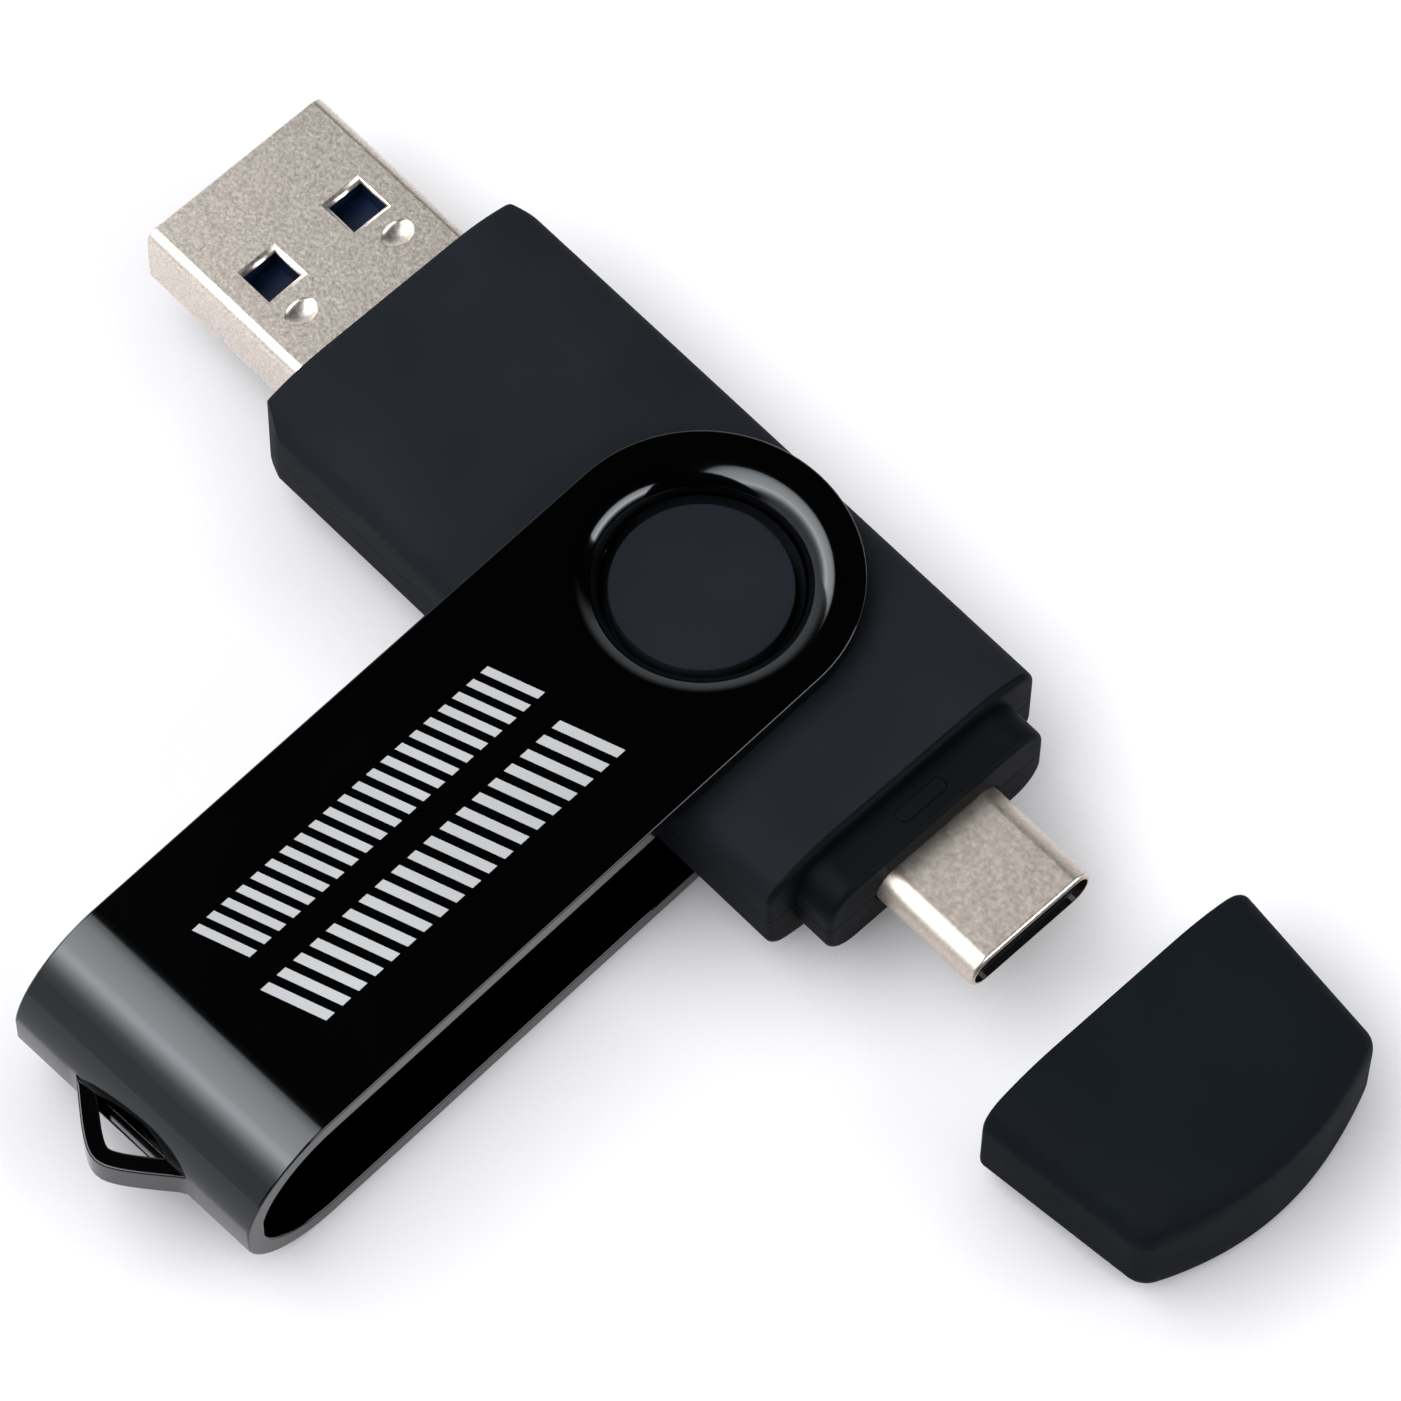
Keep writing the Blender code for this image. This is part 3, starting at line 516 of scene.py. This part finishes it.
def body_shell(name, node, side):
    """One moulded half: hollow, with the boss and its groove, both plug openings and half the nose."""
    shell = make_piece(name, loft_shape(body_rings(side)), soft_black)
    for side_y in (1, -1):
        cut(shell, corner_cutter(side_y))
    cut(shell, bar("cavity", BODY_FRONT + WALL, BODY_BACK - WALL,
                   BODY_HALF_W - WALL, PAD_FLOOR, CAVITY_ROUND, 4))
    groove = ((BOSS_R - BOSS_EASE, BODY_HALF_H + 0.5), (BOSS_R - BOSS_EASE, BODY_HALF_H + 0.01),
              (BOSS_R - 0.3 * BOSS_EASE, BODY_HALF_H - 0.3 * BOSS_EASE), (BOSS_R, BODY_HALF_H - BOSS_EASE),
              (BOSS_R, GROOVE_FLOOR), (GROOVE_R, GROOVE_FLOOR), (GROOVE_R + 0.15, GROOVE_FLOOR + 0.35),
              (GROOVE_RIM_R, BODY_HALF_H + 0.02), (GROOVE_RIM_R, BODY_HALF_H + 0.5))
    cut(shell, turned("groove", [(r, MID_Z + side * h) for r, h in groove]))
    cut(shell, bar("mouth", BODY_FRONT - PAST, BODY_FRONT + WALL + 0.3,
                   USB_A_HALF_W + PLUG_GAP, USB_A_HALF_H + PLUG_GAP, USB_A_EDGE + PLUG_GAP, 6))
    cut(shell, bar("throat", BODY_BACK - WALL - 0.3, NOSE_TIP + PAST,
                   USB_C_HALF_W + PLUG_GAP, USB_C_HALF_H + PLUG_GAP, USB_C_HALF_H + PLUG_GAP - 0.001, 10))
    shade(shell, 28.0)
    weigh_normals(shell)
    shell.data.materials.append(nose_black)
    for face in shell.data.polygons:
        if (face.center.x - PIVOT.x) / MM > BODY_BACK - BODY_END_EDGE:
            face.material_index = 1
    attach(shell, "drive_body")
    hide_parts(node)


def detent(name, side):
    """Low rounded ridge on the nose that the cap clicks over."""
    rings = []
    for k in range(EASE + 1):
        turn = math.radians(90.0 * k / EASE)
        inset = DETENT_RISE * (1 - math.cos(turn))
        height = NOSE_HALF_H - DETENT_SINK + (DETENT_RISE + DETENT_SINK) * math.sin(turn)
        half_w = DETENT_HALF_W - inset
        outline = rounded_rect(half_w, DETENT_HALF_L - inset, half_w - 0.001, 6)
        rings.append([(DETENT_X + a, b, MID_Z + side * height) for a, b in outline])
    ridge = make_piece(name, loft_shape(rings), nose_black)
    weigh_normals(ridge)
    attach(ridge, "drive_body")


# ---- swivel clip ----
def on_clip(u, v, height):
    """Point at distance u along the clip, v across it, at a height above the middle plane."""
    heading = math.radians(CLIP_ANGLE)
    ahead = Vector((math.cos(heading), math.sin(heading), 0.0))
    beside = Vector((-math.sin(heading), math.cos(heading), 0.0))
    return u * ahead + v * beside + Vector((0.0, 0.0, MID_Z + height))


def eye_profile():
    """Dished eye from its rim inward: (outer radius, outer height), (inner radius, inner height)."""
    top = 2.0 * BEND_R
    slope = math.radians(EYE_SLOPE)
    steps = 14
    rows = []
    for k in range(1, steps + 1):
        t = slope * k / steps
        inner_r = EYE_FOLD_R - SHEET
        rows.append(((EYE_R - EYE_FOLD_R * math.sin(t), top - EYE_FOLD_R * (1 - math.cos(t))),
                     (EYE_R - inner_r * math.sin(t), top - SHEET - inner_r * (1 - math.cos(t)))))
    (outer_r, outer_z), (inner_r, inner_z) = rows[-1]
    run = outer_r - EYE_HOLE_R
    drop = run * math.tan(slope)
    for part in (0.5, 1.0):
        rows.append(((outer_r - part * run, outer_z - part * drop),
                     (inner_r - part * run, inner_z - part * drop)))
    return rows


def loop_offset(v):
    """How far the cord loop stands out of the bend, at v across the clip."""
    soft = math.hypot(v, LOOP_ROUND) - LOOP_ROUND
    full = math.hypot(LOOP_HALF_SPAN, LOOP_ROUND) - LOOP_ROUND
    return LOOP_REACH * (1.0 - soft / full)


def clip_lines():
    """Distances across the clip at which its mesh lines run along it."""
    inside = [LOOP_HALF_SPAN * (2.0 * k / LINES_ACROSS - 1.0) for k in range(LINES_ACROSS + 1)]
    step = (CLIP_HALF_W - LOOP_HALF_SPAN) / LINES_BESIDE
    outside = [LOOP_HALF_SPAN + step * k for k in range(1, LINES_BESIDE + 1)]
    return [-v for v in reversed(outside)] + inside + outside


def ring_rim(lines):
    """Plan outline of the clip's ring: straight across the arm, along its sides and round its back."""
    first = math.atan2(CLIP_HALF_W, RING_FRONT)
    side_steps = 14
    back_steps = 64
    side = []
    for k in range(1, side_steps):
        turn = first + (math.pi / 2 - first) * k / side_steps
        side.append(CLIP_HALF_W / math.tan(turn))
    rim = [(RING_FRONT, v) for v in lines] + [(u, CLIP_HALF_W) for u in side]
    for k in range(back_steps + 1):
        turn = math.pi / 2 + math.pi * k / back_steps
        rim.append((CLIP_HALF_W * math.cos(turn), CLIP_HALF_W * math.sin(turn)))
    return rim + [(u, -CLIP_HALF_W) for u in reversed(side)]


def sheet_shape(skins, faces):
    """Sheet with matching outer and inner points, closed along every open edge."""
    shape = bmesh.new()
    outer = [shape.verts.new(on_clip(*skin[0])) for skin in skins]
    inner = [shape.verts.new(on_clip(*skin[1])) for skin in skins]
    used = {}
    for face in faces:
        shape.faces.new([outer[i] for i in face])
        shape.faces.new([inner[i] for i in reversed(face)])
        for a, b in zip(face, face[1:] + face[:1]):
            used.setdefault(frozenset((a, b)), []).append((a, b))
    for sides in used.values():
        if len(sides) == 1:
            a, b = sides[0]
            shape.faces.new((outer[b], outer[a], inner[a], inner[b]))
    return shape


def swivel_clip():
    """One bent sheet, built as matching points on its outer and inner skins, edges eased."""
    skins = []
    faces = []

    def spot(outer, inner):
        skins.append((outer, inner))
        return len(skins) - 1

    def patch(near, far, ring=False):
        last = len(near) if ring else len(near) - 1
        for i in range(last):
            j = (i + 1) % len(near)
            faces.append((near[i], near[j], far[j], far[i]))

    lines = clip_lines()
    rim = ring_rim(lines)
    turns = [math.atan2(v, u) for u, v in rim]
    rows = [((EYE_R, 2 * BEND_R), (EYE_R, 2 * BEND_R - SHEET))] + eye_profile()
    arm_ends = []
    for side in (1, -1):
        outer_rim = [spot((u, v, side * BEND_R), (u, v, side * (BEND_R - SHEET))) for u, v in rim]
        near = outer_rim
        for (outer_r, outer_z), (inner_r, inner_z) in rows:
            far = []
            for t in turns:
                far.append(spot((outer_r * math.cos(t), outer_r * math.sin(t), side * (outer_z - BEND_R)),
                                (inner_r * math.cos(t), inner_r * math.sin(t), side * (inner_z - BEND_R))))
            patch(near, far, ring=True)
            near = far
        arm_ends.append(outer_rim[:len(lines)])

    slit = math.asin(LOOP_HALF_H / BEND_R)
    half = 20
    turns = [math.pi / 2 - (math.pi / 2 - slit) * k / half for k in range(half + 1)]
    turns += [-t for t in reversed(turns)]
    bend = []
    for t in turns:
        row = []
        for v in lines:
            outer = (BEND_START + BEND_REACH * math.cos(t), v, BEND_R * math.sin(t))
            inner = (BEND_START + (BEND_REACH - SHEET) * math.cos(t), v, (BEND_R - SHEET) * math.sin(t))
            row.append(spot(outer, inner))
        bend.append(row)
    patch(arm_ends[0], bend[0])
    for k in range(len(bend) - 1):
        if k != half:
            patch(bend[k], bend[k + 1])
    patch(bend[-1], arm_ends[1])
    left = LINES_BESIDE
    right = LINES_BESIDE + LINES_ACROSS
    patch(bend[half][:left + 1], bend[half + 1][:left + 1])
    patch(bend[half][right:], bend[half + 1][right:])

    wall = BEND_START + BEND_REACH * math.cos(slit)
    upper = [bend[half][left]]
    lower = [bend[half + 1][left]]
    for v in lines[left + 1:right]:
        u = wall + loop_offset(v)
        reach = 0.01
        slope = (loop_offset(v + reach) - loop_offset(v - reach)) / (2.0 * reach)
        length = math.hypot(1.0, slope)
        inner_u = u - LOOP_SHEET / length
        inner_v = v + LOOP_SHEET * slope / length
        upper.append(spot((u, v, LOOP_HALF_H), (inner_u, inner_v, LOOP_HALF_H)))
        lower.append(spot((u, v, -LOOP_HALF_H), (inner_u, inner_v, -LOOP_HALF_H)))
    upper.append(bend[half][right])
    lower.append(bend[half + 1][right])
    patch(upper, lower)

    clip = make_piece("clip", sheet_shape(skins, faces), paint, 60.0)
    bevel(clip, CLIP_EASE, 4, 50.0)
    weigh_normals(clip)
    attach(clip, "clip")
    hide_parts("swivel_clip")


def engraving():
    """Two bands of plain slanted strokes, laser-bright, where such a clip carries its marking."""
    for band, (first, last, near, far, pitch, width) in enumerate(ENGRAVED_BANDS):
        shape = bmesh.new()
        count = int((last - first) / pitch)
        slant = STROKE_SLANT * (far - near)
        for k in range(count + 1):
            u = first + k * pitch
            base = ((u, near), (u + width, near), (u + width - slant, far), (u - slant, far))
            below = [shape.verts.new(on_clip(a, b, BEND_R - STROKE_SINK)) for a, b in base]
            above = [shape.verts.new(on_clip(a, b, BEND_R + STROKE_RISE)) for a, b in base]
            shape.faces.new(list(reversed(below)))
            shape.faces.new(above)
            for j in range(4):
                m = (j + 1) % 4
                shape.faces.new((below[j], below[m], above[m], above[j]))
        strokes = make_piece("engraved_strokes_%d" % (band + 1), shape, engraved)
        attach(strokes, "clip")


# ---- cap ----
def cap_outline(side_inset, end_inset):
    """Plan outline of the cap at one height: rounded mouth corners, tapering sides, bulged end."""
    half_open = CAP_HALF_W_OPEN - side_inset
    half_end = CAP_HALF_W_END - side_inset
    tip = CAP_END - end_inset
    radius = (half_end * half_end + CAP_END_SAG * CAP_END_SAG) / (2.0 * CAP_END_SAG)
    centre = tip - radius
    fillet = max(CAP_CORNER - 0.2 * side_inset, 0.5)
    corner_y = half_end - fillet
    corner_x = centre + math.sqrt((radius - fillet) ** 2 - corner_y ** 2)
    sweep = math.atan2(corner_y, corner_x - centre)
    end_steps = 14
    corner_steps = 8
    upper = []
    for k in range(end_steps + 1):
        turn = sweep * k / end_steps
        upper.append((centre + radius * math.cos(turn), radius * math.sin(turn)))
    for k in range(1, corner_steps + 1):
        turn = sweep + (math.pi / 2 - sweep) * k / corner_steps
        upper.append((corner_x + fillet * math.cos(turn), corner_y + fillet * math.sin(turn)))
    mouth = []
    for k in range(LIP + 1):
        turn = math.radians(90.0 * k / LIP)
        x = CAP_OPEN + CAP_LIP * (1 - math.sin(turn))
        mouth.append((x, half_open - CAP_LIP * (1 - math.cos(turn))))
    points = [(x, -y) for x, y in reversed(mouth)]
    points += [(x, -y) for x, y in reversed(upper[1:])]
    points += upper
    points += mouth
    return points


def cap():
    """Crowned cap, hollowed for the nose and more narrowly for the USB-C plug."""
    section = crowned_half(CAP_HALF_W_OPEN, CAP_HALF_H, 0.0, 0.0)
    quarter = section[1:len(section) // 2]
    levels = [(height, CAP_HALF_W_OPEN - half_w) for half_w, height in quarter]
    heights = [(-h, inset) for h, inset in reversed(levels)] + levels
    rings = []
    for height, inset in heights:
        past = max(abs(height) - (CAP_HALF_H - CAP_END_EDGE), 0.0)
        end_inset = CAP_END_EDGE - math.sqrt(max(CAP_END_EDGE ** 2 - past ** 2, 0.0))
        rings.append([(x, y + CAP_Y, CAP_HALF_H + height) for x, y in cap_outline(inset, end_inset)])
    body = make_piece("cap", loft_shape(rings), cap_black)
    room = rounded_rect(NOSE_HALF_W + CAP_ROOM, NOSE_HALF_H + CAP_ROOM, NOSE_EDGE + CAP_ROOM, 10)
    hollow = []
    for x, narrower in ((-PAST, 0.0), (CAP_SEAT, 0.0), (CAP_DEPTH, CAP_NARROWS)):
        squeeze = 1.0 - narrower / (NOSE_HALF_W + CAP_ROOM)
        hollow.append([(CAP_OPEN + x, a * squeeze + CAP_Y, CAP_HALF_H + b) for a, b in room])
    cut(body, make_piece("hollow", loft_shape(hollow), cap_black))
    shade(body, 32.0)
    weigh_normals(body)
    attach(body, "cap")
    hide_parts("usb_c_cap")


# ---- plugs ----
def tube(name, start, end, half_w, half_h, radius, wall, ease, steps, material):
    """Shell open at both ends, its front edge rounded outside by ease and chamfered inside."""
    toward = 1.0 if end > start else -1.0
    rings = []
    for k in range(LIP, -1, -1):
        turn = math.radians(90.0 * k / LIP)
        inset = ease * (1 - math.cos(turn))
        along = start + toward * ease * (1 - math.sin(turn))
        rings.append(across(along, rounded_rect(half_w - inset, half_h - inset, radius - inset, steps)))
    rings.append(across(end, rounded_rect(half_w, half_h, radius, steps)))
    inner = rounded_rect(half_w - wall, half_h - wall, max(radius - wall, 0.05), steps)
    rings.append(across(end, inner))
    rings.append(across(start + toward * 0.3 * wall, inner))
    lip = max(0.7 * wall, ease + 0.03)
    rings.append(across(start, rounded_rect(half_w - lip, half_h - lip, max(radius - lip, 0.05), steps)))
    return make_piece(name, loft_shape(rings, closed=True), material)


def usb_a_shell():
    """Folded shell with latch windows, dimples and the seam along its underside."""
    shell = tube("usb_a_plug", USB_A_FRONT, USB_A_BACK, USB_A_HALF_W, USB_A_HALF_H,
                 USB_A_EDGE, USB_A_WALL, USB_A_LIP, 8, steel)
    for y in (1, -1):
        near, far = sorted((y * WINDOW_Y[0], y * WINDOW_Y[1]))
        base = ((WINDOW_X[0], near), (WINDOW_X[1], near), (WINDOW_X[1], far), (WINDOW_X[0], far))
        heights = (MID_Z - USB_A_HALF_H - PAST, MID_Z + USB_A_HALF_H + PAST)
        cut(shell, make_piece("window", loft_shape([[(x, w, z) for x, w in base] for z in heights]), steel))
        dish = bmesh.new()
        bmesh.ops.create_uvsphere(dish, u_segments=32, v_segments=16, radius=1.0)
        middle = Vector((DIMPLE_X, y * DIMPLE_Y, MID_Z + USB_A_HALF_H + DIMPLE_LIFT))
        for vertex in dish.verts:
            vertex.co = middle + vertex.co * DIMPLE_SIZE
        cut(shell, make_piece("dimple", dish, steel))
    seam = ((USB_A_FRONT - PAST, -SEAM_HALF_W), (USB_A_BACK + PAST, -SEAM_HALF_W),
            (USB_A_BACK + PAST, SEAM_HALF_W), (USB_A_FRONT - PAST, SEAM_HALF_W))
    depths = (MID_Z - USB_A_HALF_H - 0.1, MID_Z - USB_A_HALF_H + SEAM_DEPTH)
    cut(shell, make_piece("seam", loft_shape([[(x, w, z) for x, w in seam] for z in depths]), steel))
    roll_windows(shell)
    shade(shell, 40.0)
    edge = shell.modifiers.new("rolled windows", "BEVEL")
    edge.limit_method = "WEIGHT"
    edge.width = WINDOW_ROLL * MM
    edge.segments = 4
    weigh_normals(shell)
    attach(shell, "drive_body")
    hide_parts("usb_a_shell")


def roll_windows(shell):
    """Mark the rims of the windows, on the plug's outer faces, for rounding."""
    mesh = shell.data
    weight = mesh.attributes.new("bevel_weight_edge", "FLOAT", "EDGE")
    spots = [(vertex.co - PIVOT) / MM for vertex in mesh.vertices]
    slack = 0.01
    for edge in mesh.edges:
        rim = True
        for index in edge.vertices:
            x, y, z = spots[index]
            outside = abs(abs(z - MID_Z) - USB_A_HALF_H) < slack
            in_x = WINDOW_X[0] - slack < x < WINDOW_X[1] + slack
            in_y = WINDOW_Y[0] - slack < abs(y) < WINDOW_Y[1] + slack
            rim = rim and outside and in_x and in_y
        if rim:
            weight.data[edge.index].value = 1.0


def usb_c_shell():
    """Drawn shell with a rolled lip; its inner faces take nearly black steel as painted shade."""
    shell = tube("usb_c_plug", USB_C_TIP, USB_C_BACK, USB_C_HALF_W, USB_C_HALF_H,
                 USB_C_HALF_H - 0.01, USB_C_WALL, USB_C_LIP, 12, steel_c)
    # painted shade on the shell's inner faces
    shell.data.materials.append(steel_painted_shade)
    axis = place((0.0, 0.0, MID_Z))
    for face in shell.data.polygons:
        outward = face.center - axis
        outward.x = 0.0
        if face.normal.dot(outward) < -0.5 * outward.length:
            face.material_index = 1
    weigh_normals(shell)
    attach(shell, "drive_body")
    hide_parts("usb_c_shell")


body_shell("body_upper", "housing_upper", 1)
body_shell("body_lower", "housing_lower", -1)
detent("nose_ridge_upper", 1)
detent("nose_ridge_lower", -1)
swivel_clip()
engraving()
cap()
usb_a_shell()
usb_c_shell()


# ---- floor, lights, camera ----
def floor():
    """Pale matt floor with a painted glow of its own that lifts its shadows, dimmed near the pieces into
    painted contact shadow.
    """
    shape = bmesh.new()
    corners = ((-1, -1), (1, -1), (1, 1), (-1, 1))
    shape.faces.new([shape.verts.new((TABLE_HALF * x, TABLE_HALF * y, -TABLE_DROP)) for x, y in corners])
    tree = Nodes("floor_white")
    tree.colour(tree.noise(30.0, 2.0), (0.315, 0.31, 0.32), (0.33, 0.325, 0.335))
    tree.bump(tree.noise(900.0, 3.0), 0.2, 0.0001)
    tree.shader.inputs["Roughness"].default_value = 0.9
    tree.shader.inputs["Specular IOR Level"].default_value = 0.05
    tree.shader.inputs["Emission Color"].default_value = (1.0, 0.99, 1.01, 1.0)
    # painted contact shadow: ambient occlusion dims the floor's glow near the pieces
    painted_contact_shade = tree.add("ShaderNodeAmbientOcclusion", samples=6, Distance=TABLE_PAINTED_SHADE_REACH)
    glow = tree.add("ShaderNodeMath", operation="MULTIPLY")
    glow.inputs[1].default_value = TABLE_PAINTED_GLOW
    tree.link(painted_contact_shade.outputs["AO"], glow.inputs[0])
    tree.link(glow.outputs[0], tree.shader.inputs["Emission Strength"])
    make_piece("floor", shape, tree.material)


def shade_softbox(data):
    """Brightest across the softbox's middle, fading softly to its foot."""
    data.use_nodes = True
    tree = data.node_tree
    glow = next(node for node in tree.nodes if node.type == "EMISSION")
    coords = tree.nodes.new("ShaderNodeTexCoord")
    axes = tree.nodes.new("ShaderNodeSeparateXYZ")
    tree.links.new(coords.outputs["UV"], axes.inputs[0])
    ramp = tree.nodes.new("ShaderNodeValToRGB")
    ramp.color_ramp.interpolation = "B_SPLINE"
    points = ramp.color_ramp.elements
    points[0].position, points[1].position = SOFTBOX_GLOW[0][0], SOFTBOX_GLOW[-1][0]
    for height, _ in SOFTBOX_GLOW[1:-1]:
        points.new(height)
    peak = max(level for _, level in SOFTBOX_GLOW)
    for point, (_, level) in zip(points, SOFTBOX_GLOW):
        point.color = (level / peak, level / peak, level / peak, 1.0)
    tree.links.new(axes.outputs["Y"], ramp.inputs["Fac"])
    scaled = tree.nodes.new("ShaderNodeMath")
    scaled.operation = "MULTIPLY"
    scaled.inputs[1].default_value = peak
    tree.links.new(ramp.outputs["Color"], scaled.inputs[0])
    tree.links.new(scaled.outputs[0], glow.inputs["Strength"])


def softbox(name, azimuth, elevation, half_width, half_height, brightness, colour):
    """Flat light a metre from the drive and aimed at it; its half sizes are its half angles' tangents."""
    data = bpy.data.lights.new(name, "AREA")
    data.shape = "RECTANGLE"
    data.size = 2.0 * half_width
    data.size_y = 2.0 * half_height
    data.energy = brightness * math.pi * data.size * data.size_y
    data.color = colour
    shade_softbox(data)
    lamp = bpy.data.objects.new(name, data)
    bpy.context.scene.collection.objects.link(lamp)
    a = math.radians(azimuth)
    e = math.radians(elevation)
    toward = Vector((math.cos(e) * math.cos(a), math.cos(e) * math.sin(a), math.sin(e)))
    lamp.location = toward
    lamp.rotation_euler = toward.to_track_quat("Z", "Y").to_euler()


def studio_walls():
    """Dark studio with a pale backdrop, low down behind the drive and to its left."""
    made = bpy.data.worlds.new("studio")
    bpy.context.scene.world = made
    made.use_nodes = True
    tree = made.node_tree
    coords = tree.nodes.new("ShaderNodeTexCoord")
    axes = tree.nodes.new("ShaderNodeSeparateXYZ")
    tree.links.new(coords.outputs["Generated"], axes.inputs[0])

    def fade(source, none, full):
        ranged = tree.nodes.new("ShaderNodeMapRange")
        ranged.interpolation_type = "SMOOTHSTEP"
        ranged.inputs["From Min"].default_value = none
        ranged.inputs["From Max"].default_value = full
        tree.links.new(source, ranged.inputs["Value"])
        return ranged.outputs["Result"]

    faded = math.sin(math.radians(BACKDROP_TOP))
    full = math.sin(math.radians(BACKDROP_FULL))
    low = fade(axes.outputs["Z"], faded, full)
    behind = fade(axes.outputs["X"], BACKDROP_EDGE, BACKDROP_EDGE - BACKDROP_FADE)
    pale = tree.nodes.new("ShaderNodeMath")
    pale.operation = "MULTIPLY"
    tree.links.new(low, pale.inputs[0])
    tree.links.new(behind, pale.inputs[1])
    level = tree.nodes.new("ShaderNodeMath")
    level.operation = "MULTIPLY_ADD"
    tree.links.new(pale.outputs[0], level.inputs[0])
    level.inputs[1].default_value = BACKDROP_LIGHT
    level.inputs[2].default_value = STUDIO_DARK
    background = tree.nodes["Background"]
    background.inputs["Color"].default_value = (0.95, 0.98, 1.0, 1.0)
    tree.links.new(level.outputs[0], background.inputs["Strength"])


def camera():
    """The photograph's viewpoint: a long lens above the drive's USB-C side."""
    data = bpy.data.cameras.new("camera")
    data.sensor_width = 36.0
    data.lens = CAMERA_LENS
    data.clip_start = 0.01
    data.clip_end = 10.0
    made = bpy.data.objects.new("camera", data)
    bpy.context.scene.collection.objects.link(made)
    made.location = place(CAMERA_SPOT)
    ahead = Vector(CAMERA_AHEAD).normalized()
    right = ahead.cross(Vector((0.0, 0.0, 1.0))).normalized()
    up = right.cross(ahead)
    roll = math.radians(CAMERA_ROLL)
    cam_right = math.cos(roll) * right + math.sin(roll) * up
    cam_up = -math.sin(roll) * right + math.cos(roll) * up
    made.rotation_euler = Matrix((cam_right, cam_up, -ahead)).transposed().to_euler()
    bpy.context.scene.camera = made


floor()
softbox("softbox_left", azimuth=-125.0, elevation=54.0, half_width=0.8, half_height=0.58,
        brightness=5.2, colour=(0.96, 0.985, 1.0))
softbox("softbox_right", azimuth=28.0, elevation=28.0, half_width=0.45, half_height=0.3,
        brightness=6.0, colour=(0.97, 0.985, 1.0))
studio_walls()
camera()
bpy.context.scene.view_settings.view_transform = "Standard"
